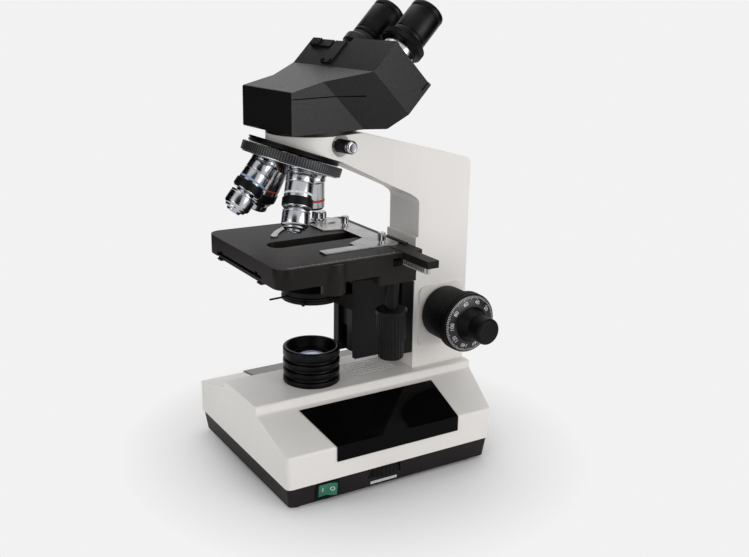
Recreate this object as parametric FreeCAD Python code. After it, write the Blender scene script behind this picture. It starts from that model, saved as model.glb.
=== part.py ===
import FreeCAD, Part
import math
import os

from FreeCAD import Matrix, Placement, Rotation, Vector

# Binocular microscope. Millimetres, +Z up, +X towards the arm, +Y to the far side.
# The origin is where the optical axis meets the bench.

# Clearances between pieces
slide_gap = 0.3
shaft_gap = 0.05
thread_gap = 0.05
press_gap = 0.02

# Base casing
base_width = 167.4
nose_x = -65.3
tail_x = 139.0
side_tail_x = 120.5
tail_flat = 30.0
casing_bottom = 20.0
band_top = 45.7
slope_top = 59.3
slope_half = 31.6
deck_z = 65.8
deck_half = 30.1
casing_wall = 2.5
casing_round = 4.0
vent_count = 7
vent_pitch = 4.0
vent_width = 1.8
vent_x = (34.0, 76.0)
deck_hole_r = 17.5

# Bottom pan and feet
pan_bottom = 3.0
pan_wall = 2.2
pan_top_inset = 1.2
pan_foot_inset = 3.6
foot_r = 6.0
foot_x = (-53.0, 104.0)
foot_y = 71.0

# Side panels
panel_thick = 1.0
panel_top_y = 37.0
panel_flap_z = 34.0
panel_top_x = (-31.0, 94.6)
panel_low_x = (-23.5, 88.0)

# Switch and brightness wheel
switch_x = -30.5
switch_size = (20.0, 14.4)
switch_depth = 14.0
bezel_lip = 1.3
bezel_proud = 0.8
rocker_size = (14.7, 11.4)
switch_well_half = 8.1
rocker_proud = 2.0
wheel_x = 20.8
wheel_r = 24.0
wheel_thick = 7.6
wheel_top = 19.4
wheel_proud = 3.6
wheel_window = 27.6
pot_spindle_r = 2.5
pot_r = 7.5
board_half = 24.0
board_y = (-8.0, 34.0)
board_lift = 2.0
board_thick = 1.6
board_inset = 4.0
board_post_r = 2.0
sink_half = 16.0
sink_y = (28.0, 30.0)
sink_top = 20.0

# Transformer and mains inlet
transformer_x = (64.0, 116.0)
transformer_half = 21.0
transformer_z = (5.2, 47.0)
inlet_z = 38.0
inlet_size = (27.0, 19.6)
inlet_depth = 16.0

# Lamp house
lamp_bracket_z = 26.0
lamp_sheet = 1.5
lamp_plate_half = (14.0, 11.0)
lamp_toe = 8.0
lamp_socket_height = 12.0
lamp_socket_half = (9.0, 6.5)
lamp_pin_x = 2.2
lamp_pin_r = 0.5
lamp_glass_r = 4.6
lamp_r = 23.4
lamp_top = 95.3
lamp_bore = 15.5
lamp_spigot_r = 17.0
lamp_spigot_bottom = 55.0
lamp_groove = 2.0
field_lens_r = 15.2
lamp_cone_depth = 8.0
lens_seat_depth = 6.5
lens_ledge = 2.0
lens_steps = 5

# Arm and limb
arm_half = 21.5
arm_front = 85.5
arm_front_upper = 88.0
arm_back = 138.0
arm_step_z = 180.0
arm_wall = 7.5
limb_top = 270.4
limb_flat_x = 29.0
limb_back_z = 241.5
limb_start_x = 8.0
limb_under_end = (80.0, 216.5)
limb_front_drop = 5.5
collar_r = 35.1
collar_bottom = 235.0
blend_x = 62.0
pad_thick = 2.2
pad_x = (90.0, 134.0)
pad_z = (84.0, 137.0)

# Head clamp screw
clamp_z = 263.2
clamp_angle = -79.0
clamp_tip = 23.6
clamp_pocket = (4.2, 8.6)
clamp_thread_r = 2.2
clamp_grip_start = 8.9

# Nosepiece
tilt = math.radians(19.2)
apex_z = 298.8
seat_face_d = 42.8
fixed_ring_r = 36.0
fixed_ring_d = (seat_face_d, seat_face_d + 4.5)
ring_r = 39.2
ring_gap = 0.4
ring_thick = 7.2
ring_d = (fixed_ring_d[1] + ring_gap, fixed_ring_d[1] + ring_gap + ring_thick)
ring_knurls = 40
turret_skirt_r = 33.5
seat_proud = 0.5
shoulder_s = seat_face_d + 20.7
parfocal = 45.0
seat_r = 12.6
thread_r = 10.1
objective_count = 4
turret_down = (-math.sin(tilt), 0.0, -math.cos(tilt))
turret_pivot_r = 3.5
turret_pivot_head = (7.5, 2.4)
turret_pivot_grip = 7.0
turret_pivot_depth = 3.0

# Barrel outlines below the shoulder: (distance from the shoulder, radius)
objective_profiles = {
    "objective_4x": [(0, 11.4), (4.0, 11.4), (4.6, 10.7), (24.0, 10.7), (25.7, 9.6)],
    "objective_10x": [(0, 11.4), (14.0, 11.4), (14.0, 12.0), (21.0, 12.0), (21.0, 11.4), (24.0, 10.6), (30.0, 8.6),
                      (38.4, 8.6), (39.4, 7.4)],
    "objective_40x": [(0, 10.9), (13.6, 10.9), (13.6, 11.8), (20.0, 11.8), (20.0, 11.0), (23.0, 11.0)],
    "objective_100x": [(0, 10.9), (13.8, 10.9), (13.8, 11.8), (20.2, 11.8), (20.2, 11.0), (23.0, 11.0)],
}
objective_places = {"objective_4x": 0, "objective_100x": 1, "objective_40x": 2, "objective_10x": 3}
objective_bore = 6.0
spring_nose_r = 10.5
spring_travel = 1.8
nose_40x_length = 44.4

# Focus drive
focus_x = 113.5
focus_z = 113.4
pinion_r = 6.4
gear_module = 0.8
rack_half = 5.0
coarse_tube_r = 6.0
fine_spindle_r = 2.5
drum_r = 22.2
drum_y = (24.2, 50.5)
knurl_r = 25.0
knurl_y = (50.5, 59.5)
dial_y = (59.5, 63.5)
dial_r = (14.6, 23.6)
hub_y = 72.0
fine_r = 10.9
fine_end = 86.0

# Slideway and stage carrier
stage_top = 183.5
stage_thick = 15.5
guide_x = 74.0
guide_half = 20.5
guide_z = (80.0, 142.0)
focus_rack_z = (99.5, 134.5)
dovetail_depth = 7.0
dovetail_half = (9.0, 12.0)
carrier_x = (29.6, 73.7)
carrier_half = 15.0
carrier_z = (81.5, stage_top - stage_thick - 1.4)
front_plate_z = 89.0

# Condenser
condenser_slot_half = (7.0, 10.0)
condenser_slot_depth = 6.0
condenser_web_half = 18.0
condenser_disc_r = 24.2
condenser_disc_z = (141.9, 147.0)
holder_r = 24.2
holder_z = (137.0, 139.8)
holder_slide_z = (107.0, 139.8)
lever_z = (140.2, 141.5)
lever_angle = 184.0
condenser_barrel_r = 17.0
condenser_body_r = 18.4
condenser_top = stage_top - 17.1
iris_lever_reach = 39.0
condenser_screw_angle = 228.0

condenser_knob_x = 50.0
condenser_knob_z = 118.0
condenser_knob_shaft_r = 3.0
condenser_pinion_r = 6.4

# Stage
stage_x = (-61.6, 62.0)
stage_half = 66.3
stage_round = 11.0
stage_far_taper = 6.0
light_slot_x = (-38.0, 42.5)
light_slot_half = 9.5
under_plate_x = (-60.8, 60.0)
under_plate_y = (-36.0, 45.0)
under_plate_thick = 2.8
under_plate_hole = 24.0
recess_top = stage_top - 11.3
rail_y = (-28.0, 37.0)
rail_width = 4.0
rail_height = 4.2
tab_size = (5.0, 7.0, 1.3)
boss_x = -14.5
boss_r = 9.3
boss_bottom = stage_top - 24.0

# Cross bar, slide holder and stage knobs
strip_x = (57.0, 60.5)
strip_y = (-47.0, -18.0)
strip_height = 1.4
bar_x = (44.0, 54.0)
bar_y = (-97.4, 58.0)
bar_z = (stage_top - 5.3, stage_top + 0.3)
rack_width = 3.2
rack_drop = 4.2
y_rack_y = (-96.5, -12.0)
holder_thick = 0.9
lug_thick = 1.0
holder_screws = ((43.5, -35.5), (46.5, 26.5))
knob_axis = (38.0, -60.0)
y_pinion_r = 6.0
x_pinion_r = 4.4
x_pinion_phase = 0.75
x_rack_x = (4.0, 64.0)
x_rack_z = (carrier_z[1] - 4.2, carrier_z[1] - 0.6)
bracket_x = (22.8, 56.3)
bracket_y = (-66.3, -57.0)
bracket_thick = 8.0
tube_r = 5.2
knob_spindle_r = 2.6
knob_disc = (12.3, 134.5, 138.5)
upper_knob = (11.55, 113.5, 134.5)
lower_knob = (10.0, 98.3, 113.0)

# Slide holder: its outline and the pivot and tip of its finger
holder_low = bar_z[1]
holder_outline = [(-12, -44), (55, -44), (55, 44), (22, 44), (22, 20), (38, 16), (38, -16), (20, -26), (20, -34), (-12, -34)]
finger_pivot = (37.0, 54.0)
finger_tip = (-21.0, 23.5)
finger_pin_r = 1.8

# Binocular head, in its own frame before it is turned on the collar
head_turn = 5.0
head_bottom = 273.5
head_front_x = -39.6
head_front_top = 304.5
head_front_half = 35.5
head_waist_half = 34.6
head_rear_half = 54.0
slide_corner = (19.0, 318.0)
slide_face = 47.0
block_depth = 16.7
guide_plate = 3.6
slide_thick = {-1: 9.0, 1: 4.4}
rail_lip = 3.2
waist_back = 27.0
flange_z = 270.7
dovetail_r = (20.0, 23.0)
dovetail_bottom = 263.5
head_bore = 11.0
eye_half = 23.75
eye_offset = 24.2
sleeve_r = 13.4
sleeve_bore = 11.65
sleeve_end = 13.4
eyepiece_r = 13.85
eye_lens_r = 9.4
eyepiece_end = 53.1
dioptre_r = 17.8
dioptre_d = (13.6, 21.6)
eye_collar_d = (6.6, 14.6)


def box(x, y, z):
    return Part.makeBox(x[1] - x[0], y[1] - y[0], z[1] - z[0], Vector(x[0], y[0], z[0]))


def cylinder(r, start, end, centre=(0.0, 0.0)):
    return Part.makeCylinder(r, end - start, Vector(centre[0], centre[1], start))


def along_y(r, start, end, x, z):
    low, high = min(start, end), max(start, end)
    return Part.makeCylinder(r, high - low, Vector(x, low, z), Vector(0, 1, 0))


# A closed wire through the points, with each corner rounded to its radius
def rounded_wire(points, radius):
    points = [Vector(*p) for p in points]
    count = len(points)
    radii = radius if isinstance(radius, (list, tuple)) else [radius] * count
    edges = []
    joints = []
    for i, corner in enumerate(points):
        before = (points[i - 1] - corner)
        after = (points[(i + 1) % count] - corner)
        a = Vector(before).normalize()
        b = Vector(after).normalize()
        if radii[i] <= 0:
            joints.append((corner, None, corner))
            continue
        half = a.getAngle(b) / 2
        reach = radii[i] / math.tan(half)
        middle = (a + b).normalize() * (radii[i] / math.sin(half) - radii[i])
        joints.append((corner + a * reach, corner + middle, corner + b * reach))
    for i in range(count):
        start, middle, end = joints[i]
        if middle is not None:
            edges.append(Part.Arc(start, middle, end).toShape())
        after = joints[(i + 1) % count][0]
        if end.distanceToPoint(after) > 1e-6:
            edges.append(Part.LineSegment(end, after).toShape())
    return Part.Wire(edges)


# A flat outline in XY, extruded from one height to another
def slab(points, z, radius=0.0):
    wire = rounded_wire([(x, y, z[0]) for x, y in points], radius)
    return Part.Face(wire).extrude(Vector(0, 0, z[1] - z[0]))


# An outline in XZ, extruded along Y
def side_prism(points, y, radius=0.0):
    wire = rounded_wire([(x, y[0], z) for x, z in points], radius)
    return Part.Face(wire).extrude(Vector(0, y[1] - y[0], 0))


# An outline in YZ, extruded along X
def cross_prism(points, x, radius=0.0):
    wire = rounded_wire([(x[0], y, z) for y, z in points], radius)
    return Part.Face(wire).extrude(Vector(x[1] - x[0], 0, 0))


# A profile of (radius, distance) points turned about the Z axis
def turned(profile):
    wire = Part.makePolygon([Vector(r, 0, d) for r, d in profile + [profile[0]]])
    return Part.Face(wire).revolve(Vector(0, 0, 0), Vector(0, 0, 1), 360)


# Puts a shape that was made along +Z from the origin onto another axis
def aimed(shape, origin, direction, across=None):
    z = Vector(*direction).normalize()
    x = Vector(*across) if across else (Vector(0, 1, 0) if abs(z.y) < 0.9 else Vector(1, 0, 0))
    x = (x - z * x.dot(z)).normalize()
    y = z.cross(x)
    turn = Matrix(x.x, y.x, z.x, origin[0], x.y, y.y, z.y, origin[1], x.z, y.z, z.z, origin[2], 0, 0, 0, 1)
    placed = shape.copy()
    placed.transformShape(turn)
    return placed


# A star-shaped prism: a cylinder with straight grooves round its rim
def knurled(r, start, end, count, depth):
    points = []
    for i in range(2 * count):
        radius = r if i % 2 == 0 else r - depth
        angle = math.pi * i / count
        points.append(Vector(radius * math.cos(angle), radius * math.sin(angle), start))
    return Part.Face(Part.makePolygon(points + [points[0]])).extrude(Vector(0, 0, end - start))


# A spur gear with straight-sided teeth
def gear(pitch_r, start, end, bore=0.0, phase=0.0):
    count = round(2 * pitch_r / gear_module)
    outer = pitch_r + 0.8 * gear_module
    root = pitch_r - 1.0 * gear_module
    points = []
    for i in range(count):
        middle = 2 * math.pi * (i + phase) / count
        for radius, share in ((root, -0.34), (outer, -0.12), (outer, 0.12), (root, 0.34)):
            angle = middle + 2 * math.pi * share / count
            points.append(Vector(radius * math.cos(angle), radius * math.sin(angle), start))
    wheel = Part.Face(Part.makePolygon(points + [points[0]])).extrude(Vector(0, 0, end - start))
    return wheel.cut(cylinder(bore, start - 1, end + 1)) if bore else wheel


# Rack teeth as an outline: a list of (along, out) points from one end to the other
def rack_line(start, end, pitch_out, centre):
    pitch = math.pi * gear_module
    first = math.ceil((start - centre) / pitch - 0.5 + 0.34)
    last = math.floor((end - centre) / pitch + 0.5 - 0.34)
    root = pitch_out - 1.15 * gear_module
    tip = pitch_out + 0.65 * gear_module
    line = [(start, root)]
    for i in range(first, last):
        gap_middle = centre + i * pitch
        tooth = gap_middle + pitch / 2
        if tooth - 0.34 * pitch < start or tooth + 0.34 * pitch > end:
            continue
        line += [(tooth - 0.31 * pitch, root), (tooth - 0.12 * pitch, tip)]
        line += [(tooth + 0.12 * pitch, tip), (tooth + 0.31 * pitch, root)]
    line.append((end, root))
    return line


def save(name, shape):
    solids = shape.Solids
    if len(solids) == 1:
        shape = solids[0]
    shape.exportStep(f"parts/{name}.step")
    print(name, len(solids), round(shape.Volume, 1), shape.isValid())


# Turns a shape of the head, made straight, onto the collar
def on_head(shape):
    turned_shape = shape.copy()
    turned_shape.rotate(Vector(0, 0, 0), Vector(0, 0, 1), head_turn)
    return turned_shape


# Base casing, moved in by a wall
def casing_section(inset):
    half = base_width / 2 - inset
    return [(-half, casing_bottom), (half, casing_bottom), (half, band_top - inset * 0.3),
            (slope_half - inset * 0.6, slope_top - inset), (deck_half - inset, deck_z - inset),
            (-deck_half + inset, deck_z - inset), (-slope_half + inset * 0.6, slope_top - inset),
            (-half, band_top - inset * 0.3)]


def base_plan(inset):
    half = base_width / 2 - inset
    return [(nose_x + inset, -half), (side_tail_x - inset * 0.6, -half), (tail_x - inset, -tail_flat),
            (tail_x - inset, tail_flat), (side_tail_x - inset * 0.6, half), (nose_x + inset, half)]


def casing_solid(inset, bottom):
    section = casing_section(inset)
    section[0] = (section[0][0], bottom)
    section[1] = (section[1][0], bottom)
    soft = [0, 0] + [max(0.5, 2.0 - inset * 0.5)] * 6
    along = cross_prism(section, (nose_x + inset, tail_x - inset), soft)
    plan = slab(base_plan(inset), (bottom, deck_z + 1), max(1.0, casing_round - inset))
    return along.common(plan)


def base_casing():
    shell = casing_solid(0.0, casing_bottom).cut(casing_solid(casing_wall, casing_bottom - 5))
    shell = shell.cut(cylinder(deck_hole_r, deck_z - 10, deck_z + 1))
    for i in range(vent_count):
        y = (i - (vent_count - 1) / 2) * vent_pitch
        shell = shell.cut(box(vent_x, (y - vent_width / 2, y + vent_width / 2), (deck_z - 5, deck_z + 1)))
    return shell.cut(inlet_body(slide_gap / 2))


# Wall angle of the pan's long sides
def pan_lean():
    return math.atan2(pan_foot_inset - pan_top_inset, casing_bottom - pan_bottom)


# The pan's outside Y on the near side at a height
def pan_side(z):
    share = (z - pan_bottom) / (casing_bottom - pan_bottom)
    return -base_width / 2 + pan_foot_inset + share * (pan_top_inset - pan_foot_inset)


def pan_loft(inset, bottom, top):
    slope = (pan_foot_inset - pan_top_inset) / (casing_bottom - pan_bottom)
    wires = []
    for z in (bottom, top):
        move = pan_foot_inset - slope * (z - pan_bottom) + inset
        wires.append(rounded_wire([(x, y, z) for x, y in base_plan(move)], max(1.0, casing_round - inset)))
    return Part.makeLoft(wires, True, True)


def base_pan():
    tray = pan_loft(0.0, pan_bottom, casing_bottom)
    tray = tray.cut(pan_loft(pan_wall, pan_bottom + pan_wall, casing_bottom + 1))
    tray = tray.cut(switch_frame_block(slide_gap / 2))
    window = (wheel_x - wheel_window / 2, wheel_x + wheel_window / 2)
    low = wheel_top - wheel_thick - 0.8
    near = -base_width / 2
    tray = tray.cut(box(window, (near - 1, near + 12), (low, casing_bottom + 1)))
    return tray.cut(cylinder(wheel_r + 0.8, low, casing_bottom + 1, (wheel_x, wheel_centre_y())))


def foot(x, y):
    pad = turned([(0, 0), (foot_r - 0.8, 0), (foot_r, 0.8), (foot_r, pan_bottom), (0, pan_bottom)])
    pad.translate(Vector(x, y, 0))
    return pad


# Bent sheet that lies on a sloping side and folds over the band
def side_panel(side):
    half = base_width / 2
    rise = (slope_top - band_top) / (half - slope_half)
    top_z = band_top + rise * (half - panel_top_y)
    out = panel_thick
    section = [(-panel_top_y, top_z), (-half, band_top), (-half, panel_flap_z),
               (-half - out, panel_flap_z), (-half - out, band_top + out * 0.85),
               (-panel_top_y - out * 0.25, top_z + out)]
    sheet = cross_prism(section, panel_top_x)
    plan = [(panel_top_x[0], -panel_top_y + 1), (panel_low_x[0], -half), (panel_low_x[0], -half - 5),
            (panel_low_x[1], -half - 5), (panel_low_x[1], -half), (panel_top_x[1], -panel_top_y + 1)]
    sheet = sheet.common(slab(plan, (panel_flap_z - 1, top_z + 5), [0, 0, 2.5, 2.5, 0, 0]))
    return sheet if side < 0 else sheet.mirror(Vector(0, 0, 0), Vector(0, 1, 0))


# Frame of the switch: origin in the middle of its outer face, local z out of the pan wall
def switch_frame():
    z = (pan_bottom + casing_bottom) / 2
    lean = pan_lean()
    return (switch_x, pan_side(z), z), (0, -math.cos(lean), -math.sin(lean))


def on_switch(shape):
    origin, out = switch_frame()
    return aimed(shape, origin, out, (1, 0, 0))


def switch_frame_block(extra):
    half_x = switch_size[0] / 2 - bezel_lip + extra
    half_y = switch_size[1] / 2 - bezel_lip + extra
    return on_switch(box((-half_x, half_x), (-half_y, half_y), (-switch_depth - 1, 3)))


def switch_housing():
    half_x, half_y = switch_size[0] / 2, switch_size[1] / 2
    lip = slab([(-half_x, -half_y), (half_x, -half_y), (half_x, half_y), (-half_x, half_y)], (0, bezel_proud), 1.2)
    inner = box((-half_x + bezel_lip, half_x - bezel_lip), (-half_y + bezel_lip, half_y - bezel_lip),
                (-switch_depth, 0))
    well_y = rocker_size[1] / 2 - 0.2 + slide_gap
    well = box((-switch_well_half, switch_well_half), (-well_y, well_y), (-8.0, 3))
    blades = [box((x - 0.4, x + 0.4), (-2.4, 2.4), (-switch_depth - 7, -switch_depth)) for x in (-5, 0, 5)]
    body = lip.fuse(inner).cut(well)
    for blade in blades:
        body = body.fuse(blade)
    return on_switch(body)


# The rocker has two flats that meet over its pivot
def switch_rocker():
    half_x, half_y = rocker_size[0] / 2, rocker_size[1] / 2 - 0.2
    low = 0.1
    wire = rounded_wire([(-half_x, -half_y, low), (0, -half_y, -0.2), (half_x, -half_y, rocker_proud + 0.6),
                         (half_x - 1.4, -half_y, -3.4), (0, -half_y, -6.6), (-half_x + 1.4, -half_y, -3.4)], 0.0)
    body = Part.Face(wire).extrude(Vector(0, 2 * half_y, 0))
    return on_switch(body)


def wheel_centre_y():
    return pan_side(wheel_top - wheel_thick / 2) - wheel_proud + wheel_r


def brightness_wheel():
    low = wheel_top - wheel_thick
    wheel = knurled(wheel_r, low, wheel_top, 40, 0.6)
    wheel = wheel.cut(cylinder(wheel_r - 4, low + 2.6, wheel_top + 1))
    hub = cylinder(5.0, low, wheel_top - 0.6)
    wheel = wheel.fuse(hub).cut(cylinder(pot_spindle_r + shaft_gap, low - 1, wheel_top - 2))
    wheel.translate(Vector(wheel_x, wheel_centre_y(), 0))
    return wheel


def dimmer_board():
    y = wheel_centre_y()
    floor = pan_bottom + pan_wall
    face = floor + board_lift + board_thick
    board = box((wheel_x - board_half, wheel_x + board_half), (y + board_y[0], y + board_y[1]), (floor + board_lift, face))
    post_x = board_half - board_inset
    for x in (wheel_x - post_x, wheel_x + post_x):
        for post_y in (y + board_y[0] + board_inset, y + board_y[1] - board_inset):
            board = board.fuse(cylinder(board_post_r, floor, floor + board_lift + board_thick / 2, (x, post_y)))
    pot = cylinder(pot_r, face, wheel_top - wheel_thick - slide_gap, (wheel_x, y))
    spindle = cylinder(pot_spindle_r, face, wheel_top - 2.5, (wheel_x, y))
    sink = box((wheel_x - sink_half, wheel_x + sink_half), (y + sink_y[0], y + sink_y[1]), (face - 0.6, floor + sink_top))
    return board.fuse(pot).fuse(spindle).fuse(sink)


def transformer():
    lamination = box(transformer_x, (-transformer_half, transformer_half), (transformer_z[0], transformer_z[1] - 4))
    middle = sum(transformer_x) / 2
    foot_plate = box((transformer_x[0] - 6, transformer_x[1] + 6), (-12, 12), (transformer_z[0], transformer_z[0] + 1.5))
    coil = box((transformer_x[0] + 10, transformer_x[1] - 10), (-transformer_half - 9, transformer_half + 9),
               (transformer_z[0] + 7, transformer_z[1] - 10))
    tags = box((middle - 12, middle + 12), (-10, 10), (transformer_z[1] - 4, transformer_z[1]))
    return lamination.fuse(foot_plate).fuse(coil).fuse(tags)


def inlet_body(extra):
    half_y, half_z = inlet_size[0] / 2 + extra, inlet_size[1] / 2 + extra
    return box((tail_x - inlet_depth - 2, tail_x + 4), (-half_y, half_y), (inlet_z - half_z, inlet_z + half_z))


# Socket for the mains lead on the tail, with three blades
def power_inlet():
    half_y, half_z = inlet_size[0] / 2, inlet_size[1] / 2
    flange = cross_prism([(-half_y - 2, inlet_z - half_z - 2), (half_y + 2, inlet_z - half_z - 2),
                          (half_y + 2, inlet_z + half_z + 2), (-half_y - 2, inlet_z + half_z + 2)],
                         (tail_x, tail_x + 2.0), 2.0)
    body = box((tail_x - inlet_depth, tail_x), (-half_y, half_y), (inlet_z - half_z, inlet_z + half_z))
    well = cross_prism([(-half_y + 2, inlet_z - half_z + 3), (half_y - 2, inlet_z - half_z + 3),
                        (half_y - 2, inlet_z + half_z - 6), (half_y - 6, inlet_z + half_z - 3),
                        (-half_y + 6, inlet_z + half_z - 3), (-half_y + 2, inlet_z + half_z - 6)],
                       (tail_x - inlet_depth + 2, tail_x + 3))
    shape = flange.fuse(body).cut(well)
    for y, z in ((-7, -1.5), (0, 2.5), (7, -1.5)):
        shape = shape.fuse(box((tail_x - inlet_depth + 1, tail_x - 1), (y - 1, y + 1),
                               (inlet_z + z - 2, inlet_z + z + 2)))
    return shape


def lamp_house():
    g = lamp_groove
    h = lamp_top - deck_z
    step = h / 8
    outside = [(lamp_r, deck_z)]
    for i in (1, 3, 5):
        z = deck_z + step * i
        outside += [(lamp_r, z + 0.4), (lamp_r - g, z + 1.4), (lamp_r - g, z + step - 0.4), (lamp_r, z + step + 0.6)]
    outside += [(lamp_r, lamp_top - 0.8), (lamp_r - 0.8, lamp_top)]
    cone_low = lamp_top - lamp_cone_depth
    seat = cone_low - lens_seat_depth
    inside = [(lamp_r - 2.6, lamp_top), (lamp_bore + 1.2, cone_low), (lamp_bore, cone_low), (lamp_bore, seat),
              (lamp_bore - lens_ledge, seat), (lamp_bore - lens_ledge, lamp_spigot_bottom)]
    spigot = [(lamp_spigot_r, lamp_spigot_bottom), (lamp_spigot_r, deck_z)]
    return turned(spigot + outside + inside)


# A lens with a flat lower face: a straight rim, then a cap of the sphere with the given rise
def plano_lens(r, low, rim, rise):
    sphere_r = (r ** 2 + rise ** 2) / (2 * rise)
    centre = low + rim + rise - sphere_r
    cap = [(r * (1 - i / lens_steps), 0) for i in range(1, lens_steps + 1)]
    cap = [(x, centre + math.sqrt(sphere_r ** 2 - x ** 2)) for x, _ in cap]
    return turned([(0, low), (r, low), (r, low + rim)] + cap)


def field_lens():
    return plano_lens(field_lens_r, lamp_top - lamp_cone_depth - lens_seat_depth, 2.6, 3.4)


# The collector lens is held in the lower end of the lamp house
def collector_lens():
    return plano_lens(lamp_bore - lens_ledge - thread_gap, lamp_spigot_bottom + 2.0, 3.0, 4.2)


def lamp_bracket():
    floor = pan_bottom + pan_wall
    half, deep = lamp_plate_half
    bracket = box((-half, half), (-deep, deep), (lamp_bracket_z, lamp_bracket_z + lamp_sheet))
    for side in (-1, 1):
        leg = sorted((side * (half - lamp_sheet), side * half))
        toe = sorted((side * (half - lamp_sheet), side * (half + lamp_toe)))
        bracket = bracket.fuse(box(leg, (-deep, deep), (floor, lamp_bracket_z)))
        bracket = bracket.fuse(box(toe, (-deep, deep), (floor, floor + lamp_sheet)))
    return bracket


def socket_top():
    return lamp_bracket_z + lamp_socket_height


def lamp_socket():
    top = socket_top()
    half, deep = lamp_socket_half
    body = slab([(-half, -deep), (half, -deep), (half, deep), (-half, deep)], (lamp_bracket_z + lamp_sheet, top), 2.0)
    for x in (-lamp_pin_x, lamp_pin_x):
        body = body.cut(cylinder(lamp_pin_r + 0.2, top - 6, top + 1, (x, 0)))
    return body


def halogen_lamp():
    top = socket_top()
    r = lamp_glass_r
    glass = turned([(0, top + 0.5), (r - 1.0, top + 0.5), (r, top + 3), (r, top + 11), (r - 1.4, top + 13.2), (0, top + 14)])
    for x in (-lamp_pin_x, lamp_pin_x):
        glass = glass.fuse(cylinder(lamp_pin_r, top - 5.5, top + 1.5, (x, 0)))
    return glass


# Height of the nosepiece's seat, which is tilted, over a point on the X axis
def seat_z(x):
    return apex_z - seat_face_d / math.cos(tilt) - x * math.tan(tilt)


def on_turret(shape):
    return aimed(shape, (0, 0, apex_z), turret_down, (math.cos(tilt), 0, -math.sin(tilt)))


# Direction of one objective; place 0 is the one on the optical axis
def objective_direction(place):
    angle = 2 * math.pi * place / objective_count
    down = Vector(*turret_down)
    arm_side = Vector(math.cos(tilt), 0, -math.sin(tilt))
    near = Vector(0, -1, 0)
    out = arm_side * math.cos(angle) + near * math.sin(angle)
    return tuple(down * math.cos(tilt) + out * math.sin(tilt))


def on_objective(shape, place):
    return aimed(shape, (0, 0, apex_z), objective_direction(place), (0.3, 1, 0))


# Plan of arm and limb: the collar's circle with a tangent line to each side of the limb
def arm_plan(z):
    reach = math.hypot(blend_x, arm_half)
    angle = -math.atan2(arm_half, blend_x) - math.acos(collar_r / reach)
    touch = (collar_r * math.cos(angle), collar_r * math.sin(angle))
    sides = slab([touch, (blend_x, -arm_half), (arm_back + 1, -arm_half), (arm_back + 1, arm_half), (blend_x, arm_half),
                  (touch[0], -touch[1])], z)
    return sides.fuse(cylinder(collar_r, z[0], z[1]))


def arm():
    cavity_x = (arm_front + 8, focus_x + pinion_r + 4)
    under_x = arm_front_upper
    outline = [(arm_front, deck_z), (arm_front, arm_step_z), (under_x, arm_step_z),
               (under_x, limb_under_end[1] - limb_front_drop), limb_under_end, (limb_start_x, seat_z(limb_start_x)),
               (0.0, seat_z(0.0) + 1.0), (0.0, limb_top), (limb_flat_x, limb_top), (arm_back, limb_back_z),
               (arm_back, deck_z)]
    soft = [0, 1.0, 0, 7.0, 3.0, 0, 0, 0, 20.0, 7.0, 0]
    body = side_prism(outline, (-60, 60), soft).common(arm_plan((deck_z, limb_top + 1)))
    # The fixed ring of the nosepiece is let into the limb, and the collar ends on the seat's plane
    body = body.cut(on_turret(cylinder(fixed_ring_r + slide_gap, seat_face_d, 160)))
    collar = cylinder(collar_r, collar_bottom, limb_top).cut(on_turret(cylinder(90, seat_face_d, 160)))
    body = body.fuse(collar)
    for side in (-1, 1):
        face = side * arm_half
        pad_y = sorted((face, face + side * pad_thick))
        pad_points = [(pad_x[0], pad_z[0]), (pad_x[1], pad_z[0]), (pad_x[1], pad_z[1]), (pad_x[0], pad_z[1])]
        body = body.fuse(side_prism(pad_points, pad_y, 6.0))
    # Cavity for the rack and pinion, open to the slideway through a slot
    cavity = box(cavity_x, (-arm_half + arm_wall, arm_half - arm_wall), (72, 150))
    slot = box((arm_front - 1, arm_front + 9), (-rack_half - 1.0, rack_half + 1.0), (74, 148))
    body = body.cut(cavity).cut(slot)
    body = body.cut(along_y(coarse_tube_r + shaft_gap, -arm_half - 5, arm_half + 5, focus_x, focus_z))
    # Socket for the head's dovetail, the light path and the clamp screw's hole
    socket = turned([(0, dovetail_bottom - 0.5), (dovetail_r[1] + slide_gap, dovetail_bottom - 0.5),
                     (dovetail_r[1] + slide_gap, dovetail_bottom), (dovetail_r[0] + slide_gap, limb_top - 1),
                     (dovetail_r[0] + slide_gap, limb_top + 1), (0, limb_top + 1)])
    entry = cylinder(dovetail_r[1] + slide_gap, dovetail_bottom - 0.5, limb_top + 1)
    body = body.cut(socket).cut(entry).cut(cylinder(head_bore, 220, limb_top))
    narrow, wide = clamp_pocket
    depth = collar_r - clamp_tip
    pocket = on_clamp(turned([(0, 3.0), (narrow, 3.0), (wide, depth), (wide + 3, depth + 4), (0, depth + 4)]))
    body = body.cut(pocket).cut(on_clamp(cylinder(clamp_thread_r + thread_gap, -3, 30)))
    return body.cut(on_turret(cylinder(turret_pivot_r + press_gap, seat_face_d - turret_pivot_depth - press_gap,
                                       seat_face_d + 1)))


# The clamp screw points at the dovetail from the near side, out of a pocket in the collar
def on_clamp(shape):
    angle = math.radians(clamp_angle)
    out = (math.cos(angle), math.sin(angle), 0)
    return aimed(shape, (out[0] * clamp_tip, out[1] * clamp_tip, clamp_z), out, (0, 0, 1))


def head_clamp_screw():
    start = clamp_grip_start
    stem = turned([(0, 0), (clamp_thread_r, 0), (clamp_thread_r, start - 0.6), (3.2, start - 0.6), (4.8, start), (0, start)])
    grip = knurled(5.2, start, start + 9.0, 16, 0.4)
    cap = turned([(0, start + 9.0), (4.8, start + 9.0), (4.8, start + 15.6), (4.2, start + 16.4), (0, start + 16.4)])
    return on_clamp(stem.fuse(grip).fuse(cap))


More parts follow.
